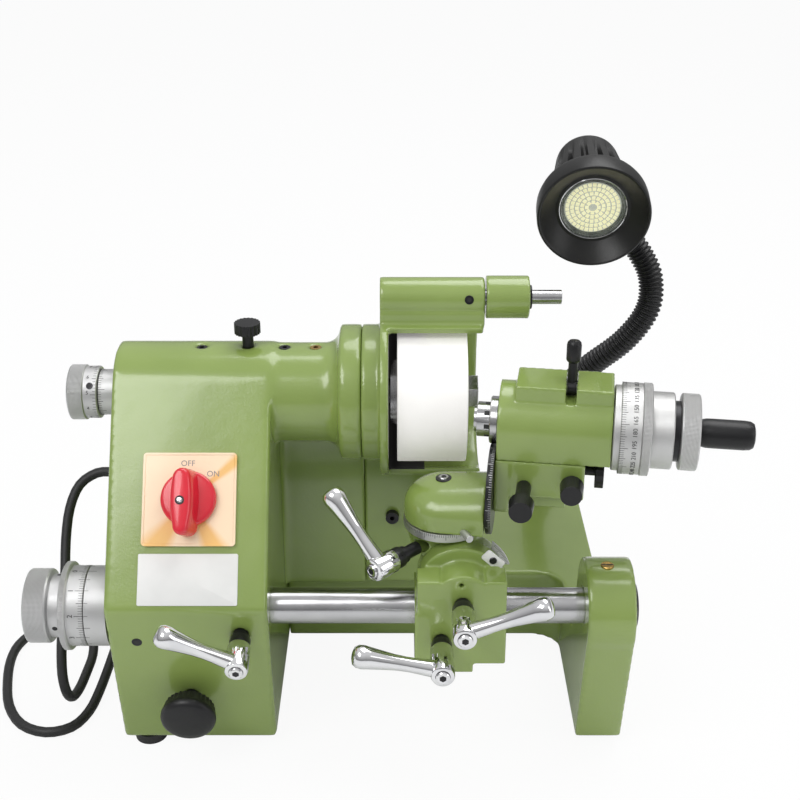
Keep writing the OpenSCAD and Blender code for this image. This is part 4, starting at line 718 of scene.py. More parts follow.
# %% [markdown]
# ## Turned and moulded pieces
# These are crisper than a casting, but a lathe still breaks every edge. A Bevel modifier takes the edges off
# the merged copies. Short edges belong to small holes and teeth, and their weight gives them only a share of
# the width.

# %% Copies with their edges taken off
SHARP_ANGLE, SHORT_EDGE, SHORT_WIDTH = 34, 1.75, 0.3


def weigh_edges(bm, width):
    """Bevel weights: whole on long sharp edges, and a share on the short ones round a hole."""
    weights = bm.edges.layers.float.new("bevel_weight_edge")
    small = max(0.1, min(1.0, SHORT_WIDTH / width))
    for edge in bm.edges:
        if len(edge.link_faces) == 2 and edge.calc_face_angle(0) > math.radians(SHARP_ANGLE):
            edge[weights] = 1.0 if edge.calc_length() > SHORT_EDGE * MM else small


def rounded(node, material, width):
    """A copy of a solid with its edges rolled over by width, in millimetres."""
    bm = merged(node)
    weigh_edges(bm, width)
    piece = from_bmesh(node + "_dressed", bm, BODY_OF[node], SLOT_OF[node], material)
    roll = piece.modifiers.new("rolled_edges", "BEVEL")
    roll.width = width * MM
    roll.segments = 2
    roll.limit_method = "WEIGHT"
    roll.profile = 0.5
    roll.use_clamp_overlap = False
    roll.harden_normals = True
    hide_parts(node)
    return piece


TURNED = {
    "rear_cover": (green, 0.8), "quill_index_sleeve": (satin, 0.5), "feed_index_sleeve": (satin, 0.5),
    "swivel_ring": (satin, 0.4), "relief_disc": (black_oxide, 0.4), "tilt_scale": (satin, 0.2),
    "slide_bar": (steel, 0.6), "dresser_shaft": (steel, 0.6), "index_spindle": (head_steel, 0.4),
    "stop_pin": (satin, 0.6), "clamp_knob": (black_moulding, 0.8), "gib_knob": (black_moulding, 0.8),
    "head_feed_wheel": (black_moulding, 0.5), "quill_lock_screw": (black_moulding, 0.5),
    "bar_end_cap": (black_moulding, 0.5), "grinding_wheel": (grit, 0.7), "wheel_flanges": (steel, 0.4),
    "wheel_nut": (steel, 0.6), "lamp_base": (black_moulding, 0.8), "cable_gland": (dark_rubber, 0.6),
}
dressed.update({node: rounded(node, material, width) for node, (material, width) in TURNED.items()})
print("copies with broken edges:", len(TURNED))

# %% [markdown]
# The other solids keep their own meshes and only take a finish. Some of them, such as the levers and the
# dials, are replaced by finer pieces further on.

# %% Solids that keep their mesh
KEPT = {
    "rubber_feet": dark_rubber, "motor_body": black_satin, "motor_rotor": steel, "drive_belt": dark_rubber,
    "quill_sleeve": steel, "spindle_bearings": steel, "spindle_shaft": steel, "guard_screws": black_oxide,
    "dresser_diamond": steel, "oil_screws": brass, "feed_nut": steel, "label_plate": label_white,
    "collet": head_steel, "index_pawl": black_moulding, "gooseneck": black_moulding,
    "lamp_head": black_satin, "lamp_lens": label_white, "mains_lead": dark_rubber, "lead_coil": dark_rubber,
    "switch_knob": red_moulding, "mains_plug": black_moulding, "switch_plate": label_white,
    "index_rings": head_satin, "drawbar_handle": black_moulding, "quill_dial": satin, "feed_dial": satin,
    "bar_lock_lever": chrome, "tilt_lock_lever": chrome, "carriage_lock_lever": chrome,
    "swivel_lock_lever": chrome, "infeed_knob": black_moulding,
}
for node, material in KEPT.items():
    nodes[node].data.materials.clear()
    nodes[node].data.materials.append(material)
print("solids with a finish of their own:", len(KEPT))

# %% [markdown]
# ## Black lining and small colour changes
# The inside of the guard is given a black finish. On the rounded copy it is enough to give the faces of the
# bore and of the cheek inside it a second finish.

# %% Guard lining
SPINDLE_Y, SPINDLE_Z = 121, 241
LINING_R, LINING_LEFT_X, LINING_RIGHT_X = 56.0, -9.5, 18.0
guard_mesh = dressed["wheel_guard"].data
guard_mesh.materials.append(black_inside)
axis_point = at(0, SPINDLE_Y, SPINDLE_Z)
lined = 0
for face in guard_mesh.polygons:
    radius = math.hypot(face.center.y - axis_point.y, face.center.z - axis_point.z) / MM
    if radius < LINING_R and LINING_LEFT_X < (face.center.x - SHIFT.x) / MM < LINING_RIGHT_X:
        face.material_index = 1
        lined += 1
print("lined faces:", lined)

# %% [markdown]
# The screws on top of the column are one solid. Those on its left are blackened, and the others stay brass.

# %% Screws on top of the column
BLACK_SCREWS_TO_X = -70
screw_mesh = nodes["oil_screws"].data
screw_mesh.materials.append(black_oxide)
blackened = [face for face in screw_mesh.polygons if (face.center.x - SHIFT.x) / MM < BLACK_SCREWS_TO_X]
for face in blackened:
    face.material_index = 1
print("blackened faces:", len(blackened), "of", len(screw_mesh.polygons))

# %% [markdown]
# ## Graduations
# The dials are turned from aluminium and carry cut lines filled with black. Each line is a thin sliver that
# stands a few hundredths of a millimetre out of the metal, copied round the axis. The numbers are flat
# letters laid on the drum.

# %% Marks round an axis
DIAL_SLOT = "satin_aluminium"
MARK_WIDTH, FINE_MARK_WIDTH, MARK_HEIGHT = 0.34, 0.26, 0.1


def add_block(bm, size, place):
    """A small block of the given size in millimetres, put in place by a matrix."""
    scale = Matrix.Diagonal((size[0] * MM, size[1] * MM, size[2] * MM, 1))
    bmesh.ops.create_cube(bm, size=1.0, matrix=place @ scale)


def turn_by(angle, axis):
    """A turn by an angle in degrees about the X, Y or Z axis."""
    return Matrix.Rotation(math.radians(angle), 4, axis)


def on(base, x, y, z=0.0):
    """A place in a frame, in millimetres along its three axes."""
    return base @ Matrix.Translation((x * MM, y * MM, z * MM))


def on_drum(axis, angle, x, radius):
    """A place on a drum, at an angle in degrees from its top, with Z out of the drum."""
    return on(axis @ turn_by(angle, "X"), x, 0, radius)


def drum_marks(name, axis, radius, edge, lengths, count, body, material=black_fill_and_shade):
    """Lines along a drum from one edge: tenth lines, fifth lines and others. Negative lengths run to -X."""
    bm = bmesh.new()
    for i in range(count):
        length = lengths[0] if i % 10 == 0 else lengths[1] if i % 5 == 0 else lengths[2]
        width = MARK_WIDTH if i % 5 == 0 else FINE_MARK_WIDTH
        place = on_drum(axis, i * 360 / count, edge + length / 2, radius)
        add_block(bm, (abs(length), width, MARK_HEIGHT), place)
    return from_bmesh(name, bm, body, DIAL_SLOT, material)


# %% [markdown]
# A font curve gives the outline of a letter or a number, and a small extrusion gives it a body. The words of
# one piece are made one after the other, turned into meshes and gathered in one bmesh.

# %% Letters and numbers
FONT_SHARE, LETTER_HALF_HEIGHT, LETTER_LIFT = 1.4, 0.04, 0.05


def letters(name, items, body, slot, material=black_fill_and_shade):
    """Flat letters: each item is a word, its height in millimetres and a matrix with Z out of the surface."""
    bm = bmesh.new()
    for word, height, place in items:
        curve = bpy.data.curves.new("word", "FONT")
        curve.body = word
        curve.size = height * MM * FONT_SHARE
        curve.align_x, curve.align_y = "CENTER", "CENTER"
        curve.extrude = LETTER_HALF_HEIGHT * MM
        curve.resolution_u = 3
        holder = bpy.data.objects.new("word", curve)
        scene.collection.objects.link(holder)
        flat = evaluated_mesh(holder)
        flat.transform(place)
        bm.from_mesh(flat)
        bpy.data.objects.remove(holder)
        bpy.data.curves.remove(curve)
        bpy.data.meshes.remove(flat)
    bmesh.ops.remove_doubles(bm, verts=bm.verts, dist=SAME_POINT)
    return from_bmesh(name, bm, body, slot, material)


def drum_numbers(name, axis, radius, x, words, body, height, start=0.0, lay=0.0):
    """Numbers round a drum; lay turns each one on the drum, 0 reading along the axis."""
    items = []
    for i, word in enumerate(words):
        place = on_drum(axis, start + i * 360 / len(words), x, radius + LETTER_LIFT)
        items.append((word, height, place @ turn_by(lay, "Z")))
    return letters(name, items, body, DIAL_SLOT)


# %% [markdown]
# A dial turns against a fixed sleeve, and the operator reads the lines of one against the lines of the other.
# Both sets run up to the narrow gap between them.

# %% Quill and feed dials
FEED_Y, FEED_Z = 32, 117
QUILL_AXIS = Matrix.Translation(at(0, SPINDLE_Y, SPINDLE_Z))
FEED_AXIS = Matrix.Translation(at(0, FEED_Y, FEED_Z))
QUILL_BODY = BODY_OF["quill_dial"]
QUILL_SLEEVE_R, QUILL_DIAL_R, FEED_DIAL_R = 16.5, 18.9, 28
QUILL_SLEEVE_X, QUILL_DIAL_X, QUILL_NUMBERS_X = -215, -216.1, -222.0
FEED_SLEEVE_X, FEED_DIAL_X, FEED_NUMBERS_X = -216, -216.35, -225
dial_pieces = [
    drum_marks("quill_sleeve_marks", QUILL_AXIS, QUILL_SLEEVE_R, QUILL_SLEEVE_X,
               (5.0, 3.6, 2.4), 60, "frame"),
    drum_marks("feed_sleeve_marks", FEED_AXIS, FEED_DIAL_R, FEED_SLEEVE_X,
               (6.0, 4.4, 3.0), 20, "frame"),
    drum_marks("feed_scale_marks", FEED_AXIS, FEED_DIAL_R, FEED_DIAL_X,
               (-6.0, -4.6, -3.2), 100, "feed_knob"),
    drum_numbers("feed_scale_numbers", FEED_AXIS, FEED_DIAL_R, FEED_NUMBERS_X,
                 [str(n) for n in range(10)], "feed_knob", height=3.6, lay=90.0),
    drum_marks("quill_dial_marks", QUILL_AXIS, QUILL_DIAL_R, QUILL_DIAL_X,
               (-3.8, -3.0, -2.2), 50, QUILL_BODY),
    drum_numbers("quill_dial_numbers", QUILL_AXIS, QUILL_DIAL_R, QUILL_NUMBERS_X,
                 [str((5 - n) % 10) for n in range(10)], QUILL_BODY, height=2.7, start=68.0),
]
print("dial pieces:", {piece.name: len(piece.data.polygons) for piece in dial_pieces})

# %% [markdown]
# The index ring divides the turn of the work spindle into 120 parts, with a number every 15 degrees, so that
# a cutter can be turned on from tooth to tooth. Its axis lies in the turned frame of the workhead.

# %% Index ring on the workhead
CARRIER_X, CARRIER_GAP, HEAD_LENGTH = 34.2, 0.35, 76.35
RINGS_X = CARRIER_X + CARRIER_GAP + HEAD_LENGTH
HEAD_Y, HEAD_Z = 19.5, 246
HEAD_AXIS = on(HEAD_TURN, 0, HEAD_Y, HEAD_Z)
INDEX_R, INDEX_MARKS_X, INDEX_NUMBERS_X = 31, RINGS_X + 4.65, RINGS_X + 14.2
drum_marks("index_marks", HEAD_AXIS, INDEX_R, INDEX_MARKS_X, (5.4, 4.2, 3.0), 120, "index")
drum_numbers("index_numbers", HEAD_AXIS, INDEX_R, INDEX_NUMBERS_X, [str(15 * n) for n in range(24)],
             "index", height=3.0, start=-110.0, lay=90.0)
print("index rings start at x in mm:", round(RINGS_X, 2))

# %% [markdown]
# The nose of the work spindle has slots round it. A dark block sunk almost flush reads as the shadow in a
# slot, so nothing has to be cut.

# %% Slots on the spindle nose
NOSE_R, NOSE_SLOTS, NOSE_SLOT_X = 12.0, 8, 26.4
SLOT_SIZE, SLOT_SINK = (3.4, 3.2, 0.4), 0.14
bm = bmesh.new()
for i in range(NOSE_SLOTS):
    add_block(bm, SLOT_SIZE, on_drum(HEAD_AXIS, i * 360 / NOSE_SLOTS, NOSE_SLOT_X, NOSE_R - SLOT_SINK))
from_bmesh("nose_slots", bm, BODY_OF["index_spindle"], SLOT_OF["index_spindle"], black_fill_and_shade)
print("slots on the nose:", NOSE_SLOTS)

# %% [markdown]
# The swivel ring lies flat, so its marks go round a frame whose X axis stands upright. The relief disc is
# black, so its lines are of bright metal.

# %% Swivel ring and relief disc
SWIVEL_R, SWIVEL_TOP_Z = 28.5, 180
RELIEF_R, RELIEF_X, RELIEF_Z = 31, 33.8, 203
UP_AXIS = Matrix.Translation(SWIVEL) @ turn_by(-90, "Y")
RELIEF_AXIS = on(HEAD_TURN, 0, 0, RELIEF_Z)
drum_marks("swivel_marks", UP_AXIS, SWIVEL_R, SWIVEL_TOP_Z, (-4.0, -3.0, -2.0), 120, "tilt")
drum_marks("relief_marks", RELIEF_AXIS, RELIEF_R, RELIEF_X, (-3.4, -2.6, -1.8), 120, "relief", satin)
print("swivel axis at:", [round(v, 4) for v in SWIVEL])

# %% [markdown]
# ## Switch, label and knob
# The column's front is two faces that meet in a crease: the panel above it leans back, and the chin below it
# leans in. Each face gets a frame with Z out of it, so small pieces are placed in millimetres across and up.

# %% Panel and chin frames
CREASE_Z, PANEL_LEAN, CHIN_LEAN = 133, 54.94, 100.87
CREASE = Matrix.Translation(at(0, 0, CREASE_Z))
PANEL = CREASE @ turn_by(PANEL_LEAN, "X")
CHIN = CREASE @ turn_by(CHIN_LEAN, "X")
print("panel looks along:", [round(v, 3) for v in PANEL.to_3x3() @ Vector((0, 0, 1))])

# %% [markdown]
# Switch plate, label and pointer are flat plates with round corners. One outline is made into a face, which
# is extruded to the thickness, and the edges of the front can then be rolled over.

# %% Plates with round corners
CORNER_STEPS = 6


def plate(bm, size, thickness, corner, place):
    """A flat plate with round corners, its back on the given place."""
    half_x, half_y = size[0] / 2 - corner, size[1] / 2 - corner
    ring = []
    for side_x, side_y, first in ((1, 1, 0), (-1, 1, 90), (-1, -1, 180), (1, -1, 270)):
        for k in range(CORNER_STEPS + 1):
            angle = math.radians(first + 90 * k / CORNER_STEPS)
            ring.append(((side_x * half_x + corner * math.cos(angle)) * MM,
                         (side_y * half_y + corner * math.sin(angle)) * MM))
    base = bm.faces.new([bm.verts.new(place @ Vector((x, y, 0))) for x, y in ring])
    grown = bmesh.ops.extrude_face_region(bm, geom=[base], use_keep_orig=True)
    top = next(item for item in grown["geom"] if isinstance(item, bmesh.types.BMFace))
    bmesh.ops.translate(bm, verts=top.verts, vec=place.to_3x3() @ Vector((0, 0, thickness * MM)))
    bmesh.ops.recalc_face_normals(bm, faces=bm.faces)
    return top


def bevelled(bm, edges, width):
    """Rolls edges over by a width in millimetres."""
    bmesh.ops.bevel(bm, geom=edges, offset=width * MM, offset_type="OFFSET", segments=2, profile=0.5,
                    affect="EDGES", material=-1, clamp_overlap=True)


# %% [markdown]
# The switch plate is a moulded square with a printed face: pale cream with three orange wedges that run out
# from the knob. A Mapping node of the texture kind brings each surface point into the plate's own frame. The
# finish reads the angle round the middle there, and a colour ramp turns it into cream or orange.

# %% Printed finish
SWITCH = on(PANEL, -144, 76)
CREAM, ORANGE = (0.93, 0.73, 0.50, 1), (0.86, 0.51, 0.16, 1)
WEDGES = [
    (0.10, CREAM), (0.135, ORANGE), (0.175, ORANGE), (0.205, CREAM),
    (0.285, CREAM), (0.31, ORANGE), (0.345, ORANGE), (0.37, CREAM),
    (0.588, CREAM), (0.603, ORANGE), (0.618, ORANGE), (0.632, CREAM),
]


def add_axes(tree, place):
    """The X, Y and Z of a surface point in the frame of a place, as outputs in metres."""
    where = tree.nodes.new("ShaderNodeMapping")
    where.vector_type = "TEXTURE"
    where.inputs["Location"].default_value = place.translation
    where.inputs["Rotation"].default_value = place.to_euler()
    axes = tree.nodes.new("ShaderNodeSeparateXYZ")
    link_nodes(
        tree,
        (tree.nodes["Texture Coordinate"].outputs["Object"], where.inputs["Vector"]),
        (where.outputs["Vector"], axes.inputs[0]),
    )
    return axes.outputs


printed = finish("printed_switch_face", CREAM[:3], CREAM[:3], 0.3, drift=30.0, peel=(900.0, 0.02), coat=0.3)
tree = printed.node_tree
axes = add_axes(tree, SWITCH)
angle = add_math(tree, "ARCTAN2", axes["Y"], axes["X"])
wedges = tree.nodes.new("ShaderNodeValToRGB")
wedges.color_ramp.elements[0].position, wedges.color_ramp.elements[0].color = WEDGES[0]
wedges.color_ramp.elements[1].position, wedges.color_ramp.elements[1].color = WEDGES[-1]
for place, colour in WEDGES[1:-1]:
    wedges.color_ramp.elements.new(place).color = colour
link_nodes(
    tree,
    (add_math(tree, "MULTIPLY_ADD", angle, 1 / math.tau, 0.5), wedges.inputs["Fac"]),
    (wedges.outputs["Color"], tree.nodes["Principled BSDF"].inputs["Base Color"]),
)
print("colour stops of the wedges:", len(wedges.color_ramp.elements))

# %% [markdown]
# The face of the plate lies a little below its rim. Two insets make the rim and the step, and the two words
# are printed on the face in grey.

# %% Switch plate
PLATE_SIDE, PLATE_THICKNESS, PLATE_CORNER = 64, 3.0, 2.5
RIM_WIDTH, STEP_WIDTH, STEP_DEPTH = 1.3, 0.5, 0.35
WORD_HEIGHT, WORD_LIFT = 4.0, 2.70
bm = bmesh.new()
top = plate(bm, (PLATE_SIDE, PLATE_SIDE), PLATE_THICKNESS, PLATE_CORNER, SWITCH)
bmesh.ops.inset_region(bm, faces=[top], thickness=RIM_WIDTH * MM, depth=0)
bmesh.ops.inset_region(bm, faces=[top], thickness=STEP_WIDTH * MM, depth=-STEP_DEPTH * MM)
switch_plate = from_bmesh("printed_plate", bm, "frame", SLOT_OF["switch_plate"], printed)
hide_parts("switch_plate")
print_grey = finish("printed_grey", (0.27, 0.25, 0.25), (0.22, 0.21, 0.21), 0.4, drift=60.0)
words = [
    ("OFF", WORD_HEIGHT, on(SWITCH, -1.4, 24.5, WORD_LIFT)),
    ("ON", WORD_HEIGHT, on(SWITCH, 16.0, 17.3, WORD_LIFT)),
]
letters("switch_words", words, "frame", SLOT_OF["switch_plate"], print_grey)
print("faces of the switch plate:", len(switch_plate.data.polygons))

# %% [markdown]
# The knob is a disc with a tall leaning grip. The grip is lofted through outlines, from a broad foot on the
# disc to a rounded crest that leans to the left. Each outline is a bar with round ends, widest near its
# middle, and bridge_loops joins each outline to the next.

# %% Red switch knob
KNOB_RIM = [(0, 3.4), (18.95, 3.4), (18.95, 7.2), (18.5, 8.4), (17.6, 9.1), (16.0, 9.3), (0, 9.3)]
GRIP_LOW, GRIP_TOP, GRIP_LEAN = 6.0, 23.3, -3.2
TIP_R, FOOT_R, TIP_Y, FOOT_Y, GRIP_SWELL = 7.0, 6.0, 13.0, -20.0, 1.6
GRIP_LEVELS = [
    (GRIP_LOW, 1.08, 0.0), (10.0, 1.0, 0.0), (17.0, 0.93, 0.2), (20.6, 0.88, 0.5), (22.2, 0.78, 1.1),
    (23.0, 0.62, 2.0), (GRIP_TOP, 0.40, 3.4),
]
bm = bmesh.new()
add_spun(bm, KNOB_RIM, SWITCH, 80)


def round_end(radius, share, middle, first):
    """The points of a round end, which starts at the angle first and makes half a turn."""
    angles = [math.radians(first + step) for step in range(15, 180, 15)]
    return [(radius * share * math.cos(a), middle + radius * math.sin(a)) for a in angles]


def grip_outline(share, trim):
    """A bar with round ends that are drawn in by the trim, its half widths times a share."""
    upper, lower = TIP_Y - trim, FOOT_Y + trim
    side = []
    for k in range(9):
        t = k / 8
        swell = GRIP_SWELL * (1 - (2 * t - 1) ** 2)
        side.append(((FOOT_R + (TIP_R - FOOT_R) * t + swell) * share, lower + (upper - lower) * t))
    tip, foot = round_end(TIP_R, share, upper, 0), round_end(FOOT_R, share, lower, 180)
    return side + tip + [(-x, y) for x, y in reversed(side)] + foot


loops = []
for z, share, trim in GRIP_LEVELS:
    lean = GRIP_LEAN * (z - GRIP_LOW) / (GRIP_TOP - GRIP_LOW)
    points = [Vector(((x + lean) * MM, y * MM, z * MM)) for x, y in grip_outline(share, trim)]
    ring = [bm.verts.new(SWITCH @ point) for point in points]
    loops.append([bm.edges.new(pair) for pair in zip(ring, ring[1:] + ring[:1])])
for low, high in zip(loops, loops[1:]):
    bmesh.ops.bridge_loops(bm, edges=low + high)
for loop in (loops[0], loops[-1]):
    bmesh.ops.edgeloop_fill(bm, edges=loop)
bmesh.ops.recalc_face_normals(bm, faces=bm.faces)
knob = from_bmesh("switch_grip", bm, "switch", SLOT_OF["switch_knob"], red_moulding, smooth=42)
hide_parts("switch_knob")
print("faces of the knob:", len(knob.data.polygons))

# %% [markdown]
# A screw on the crest holds the knob on its shaft. It has a low domed head with a fine cross on it, and a
# dark disc below the head is painted shade of the recess round it.

# %% Screw of the switch knob
KNOB_SCREW = on(SWITCH, GRIP_LEAN, -2.6, GRIP_TOP)
bm = bmesh.new()
add_spun(bm, [(0, 0.02), (3.0, 0.02), (3.1, 0.01)], KNOB_SCREW, 28, 1)
add_spun(bm, [(2.1, 0.03), (1.9, 0.3), (1.2, 0.45), (0, 0.5)], KNOB_SCREW, 20)
for turn in (20, 110):
    add_block(bm, (2.8, 0.5, 0.1), on(KNOB_SCREW, 0, 0, 0.47) @ turn_by(turn, "Z"))
knob_screw = from_bmesh("switch_screw", bm, "switch", SLOT_OF["switch_knob"], steel, black_fill_and_shade)
print("faces of the screw:", len(knob_screw.data.polygons))

# %% [markdown]
# Below the switch sits a thin plate, which is left bare. Its front edges are rolled over a little so that
# they catch the light.

# %% Bare label plate
LABEL = on(PANEL, -144, 21.5)
LABEL_SIZE, LABEL_THICKNESS, LABEL_CORNER, LABEL_ROLL = (68, 35), 0.8, 1.2, 0.25
bm = bmesh.new()
top = plate(bm, LABEL_SIZE, LABEL_THICKNESS, LABEL_CORNER, LABEL)
bevelled(bm, list(top.edges), LABEL_ROLL)
label_piece = from_bmesh("bare_label_plate", bm, "frame", SLOT_OF["label_plate"], label_white)
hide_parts("label_plate")
print("faces of the label plate:", len(label_piece.data.polygons))

# %% [markdown]
# ## Screws, collars and small fittings
# Small dark screws are what makes a machine look assembled. One helper spins the outline of a screw head and
# lays a flat dark hexagon or slot on it, painted shade that stands for a socket or a slot. Heads of one body
# and one metal are gathered in one piece.

# %% Screw heads


def add_screw(bm, place, radius, height, drive="hex"):
    """A round head with a chamfer and a flat dark hexagon or slot on it as painted shade of the socket, whose
    faces take the second finish.
    """
    edge = min(0.5, radius * 0.2, height * 0.6)
    add_spun(bm, [(radius, -0.4), (radius, height - edge), (radius - edge, height), (radius * 0.55, height),
                  (radius * 0.5, height - 0.05), (0, height - 0.05)], place)
    before = set(bm.faces)
    if drive == "hex":
        bmesh.ops.create_circle(bm, cap_ends=True, segments=6, radius=radius * 0.52 * MM,
                                matrix=on(place, 0, 0, height + 0.03))
    else:
        add_block(bm, (radius * 1.7, radius * 0.24, 0.06), on(place, 0, 0, height))
    for face in set(bm.faces) - before:
        face.material_index = 1


def screws(name, heads, body, slot="black_steel", metal=black_oxide):
    """A piece of screw heads, each a place, a radius, a height and, where it is no hexagon, a drive."""
    bm = bmesh.new()
    for head in heads:
        add_screw(bm, *head)
    return from_bmesh(name, bm, body, slot, metal, black_fill_and_shade)


# %% [markdown]
# Two set screws belong to the frame: one in the boss over the guard, where the dresser slides, and one in the
# chin. The oil screw on the bracket is brass and slotted.

# %% Screws of the frame
DRESSER_Z = 314
BOSS_SCREW_X, BOSS_SCREW_TURN, BOSS_SCREW_OUT = 47.8, 78, 13.9
boss = Matrix.Translation(at(BOSS_SCREW_X, SPINDLE_Y, DRESSER_Z))
boss_screw = on(boss @ turn_by(BOSS_SCREW_TURN, "X"), 0, 0, BOSS_SCREW_OUT)
set_screws = [(boss_screw, 3.2, 0.25), (on(CHIN, -181, -29), 3.6, 0.25)]
oil_screw = (Matrix.Translation(at(143, 30, 150.7)), 4.6, 1.0, "slot")
screws("frame_set_screws", set_screws, "frame")
screws("bracket_oil_screw", [oil_screw], "frame", "brass_screw", brass)
print("screws of the frame:", len(set_screws) + 1)

# %% [markdown]
# The swivel cap is held by a bright screw over a dark washer, and a black washer sits at the dresser head.
# A piece that is one spun outline, like this washer, has a helper of its own.

# %% Screw of the cap and washer of the dresser
ALONG_X = turn_by(90, "Y")
DRESSER_END_X = 90


def spun_piece(name, outline, place, steps, body, slot, *materials):
    """A piece that is a single spun outline."""
    bm = bmesh.new()
    add_spun(bm, outline, place, steps)
    return from_bmesh(name, bm, body, slot, *materials)


bm = bmesh.new()
CAP_TOP = Matrix.Translation(head_at(-1, 0, CAP_WALL_Z + CAP_H - 0.2))
add_spun(bm, [(5.6, -0.6), (5.6, 0.5), (5.0, 0.9), (3.6, 0.9)], CAP_TOP, 32, 1)
add_screw(bm, CAP_TOP, 3.7, 1.6)
from_bmesh("dome_screw", bm, "swivel", "black_steel", steel, black_fill_and_shade)
dresser_washer = spun_piece(
    "dresser_washer", [(5.05, 0.1), (8.2, 0.1), (8.4, 0.4), (8.4, 1.7), (8.0, 2.0), (5.05, 2.0)],
    Matrix.Translation(at(DRESSER_END_X, SPINDLE_Y, DRESSER_Z)) @ ALONG_X, 40,
    BODY_OF["dresser_head"], "black_steel", black_oxide)
print("faces of the washer:", len(dresser_washer.data.polygons))

# %% [markdown]
# Each dial and the index rings are fixed on their shafts by small screws, set into the drum at chosen angles.

# %% Screws of the dials
quill_screws = [(on_drum(QUILL_AXIS, 52.7, -220.3, 18.85), 2.5, 0.15)]
feed_screws = [(on_drum(FEED_AXIS, angle, -237.8, 21.9), 1.9, 0.2) for angle in (103, 223, 343)]
index_screws = [(on_drum(HEAD_AXIS, 245, RINGS_X + 32, 25.9), 2.2, 0.2)]
screws("quill_dial_screw", quill_screws, QUILL_BODY)
screws("feed_dial_screws", feed_screws, "feed_knob")
screws("index_screws", index_screws, "index")
print("screws of the dials:", len(quill_screws + feed_screws + index_screws))

# %% [markdown]
# The tilt of the head is read by a white pointer on the carriage against an arc of lines on the tilt base.
# Both look at the operator, so they share a frame that stands upright with Z to the front.

# %% Tilt pointer
TILT_X, TILT_Z = 42, 141


def facing(x, y, z, turn=0):
    """A place on an upright face that looks at the operator, turned by some degrees in that face."""
    return Matrix.Translation(at(x, y, z)) @ turn_by(90, "X") @ turn_by(turn, "Z")


POINTER = facing(63.0, 17.2, 163.4, 47)
POINTER_SIZE, POINTER_THICKNESS, POINTER_CORNER, POINTER_ROLL = (8.4, 15.5), 1.0, 1.6, 0.2
bm = bmesh.new()
top = plate(bm, POINTER_SIZE, POINTER_THICKNESS, POINTER_CORNER, POINTER)
bevelled(bm, list(top.edges), POINTER_ROLL)
pointer = from_bmesh("tilt_pointer", bm, "carriage", "satin_aluminium", label_white)
screws("tilt_pointer_screw", [(on(POINTER, 0, 0, POINTER_THICKNESS), 2.6, 1.0, "slot")], "carriage")
print("faces of the pointer:", len(pointer.data.polygons))

# %% [markdown]
# The lines of the scale stand two degrees apart round the tilt axis, and every fifth one is longer.

# %% Tilt scale
SCALE_Y, SCALE_R, SCALE_FIRST, SCALE_STEP, SCALE_LINES = 31.33, 34.8, 19, 2, 15
bm = bmesh.new()
for i in range(SCALE_LINES):
    length = 3.0 if i % 5 == 0 else 1.9
    spoke = facing(TILT_X, SCALE_Y, TILT_Z, SCALE_FIRST + SCALE_STEP * i)
    add_block(bm, (length, 0.24, MARK_HEIGHT), on(spoke, SCALE_R - length / 2, 0))
from_bmesh("tilt_scale_marks", bm, "tilt", "satin_aluminium", black_fill_and_shade)
print("lines of the tilt scale:", SCALE_LINES)

# %% [markdown]
# ## Clamp levers
# A clamp lever is a chrome casting: a fluted hub on a black neck, and an arm that is slim at the hub and
# swells to a rounded end. Hub and arm are spun from outlines, each about its own axis, and every second
# column of the hub is drawn in for the flutes.

# %% Four clamp levers
HUB_R, NECK_H, ARM_DROP, ARM_RISE = 8.0, 11.0, 8.0, 8.0
HUB_COLUMNS, FLUTE_SHARE = 44, 0.955
ARM = [(0, -3), (5.4, -2.5), (6.0, 2), (5.6, 10), (5.0, 20), (4.9, 26), (5.3, 34), (6.3, 43), (7.3, 51),
       (7.85, 55), (7.5, 58.3), (6.1, 60.7), (3.6, 61.7), (0, 61.95)]
STUD_Z, STUD_TURN = 165, 225
SWIVEL_STUD = Matrix.Translation(at(SWIVEL_X, SWIVEL_Y, STUD_Z)) @ turn_by(STUD_TURN, "Z") @ ALONG_X
LEVERS = {
    "tilt_lock_lever": (facing(TILT_X, -4, TILT_Z), 0.35, 40, 26),
    "carriage_lock_lever": (facing(28, -4, 112), 0.35, 40, 163),
    "bar_lock_lever": (on(CHIN, -109, -22), 0.35, 34, 143),
    "swivel_lock_lever": (SWIVEL_STUD, 39.5, 30, 222),
}


def dress(node, bm, *materials, smooth=35):
    """Ends a bmesh as the piece that shows in place of a solid."""
    piece = from_bmesh(node + "_dressed", bm, BODY_OF[node], SLOT_OF[node], *materials, smooth=smooth)
    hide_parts(node)
    return piece


def add_hub(bm, place, low, high):
    """The black neck of a lever and its fluted chrome hub with a screw on top, between two heights."""
    neck, collar = low + NECK_H, high - ARM_DROP - 4.5
    add_spun(bm, [(4.6, low - 12), (4.6, low + 0.1), (5.9, low + 0.3), (5.9, low + 4.0), (7.1, low + 4.4),
                  (7.3, low + 5.0), (7.3, neck - 0.4), (6.6, neck)], place, 32, 1)
    hub = [(6.4, neck - 0.2), (7.5, neck), (HUB_R, neck + 0.7), (HUB_R, collar)]
    draw_in(add_spun(bm, hub, place, HUB_COLUMNS), place, HUB_COLUMNS,
            lambda column, radius, height: FLUTE_SHARE if column % 2 and height > neck + 0.3 else 1)
    add_spun(bm, [(7.6, collar - 0.2), (HUB_R, collar + 0.2), (HUB_R, high - 1.6), (7.5, high - 0.5),
                  (6.4, high), (5.0, high)], place, 40)
    add_screw(bm, on(place, 0, 0, high), 4.75, 1.8)


for node, (place, low, height, turn) in LEVERS.items():
    bm = bmesh.new()
    add_hub(bm, place, low, low + height)
    arm_root = on(place @ turn_by(turn, "Z"), 0, 0, low + height - ARM_DROP)
    add_spun(bm, ARM, arm_root @ turn_by(90 - ARM_RISE, "Y"), 30)
    dress(node, bm, chrome, black_oxide, smooth=40)
print("levers:", len(LEVERS))

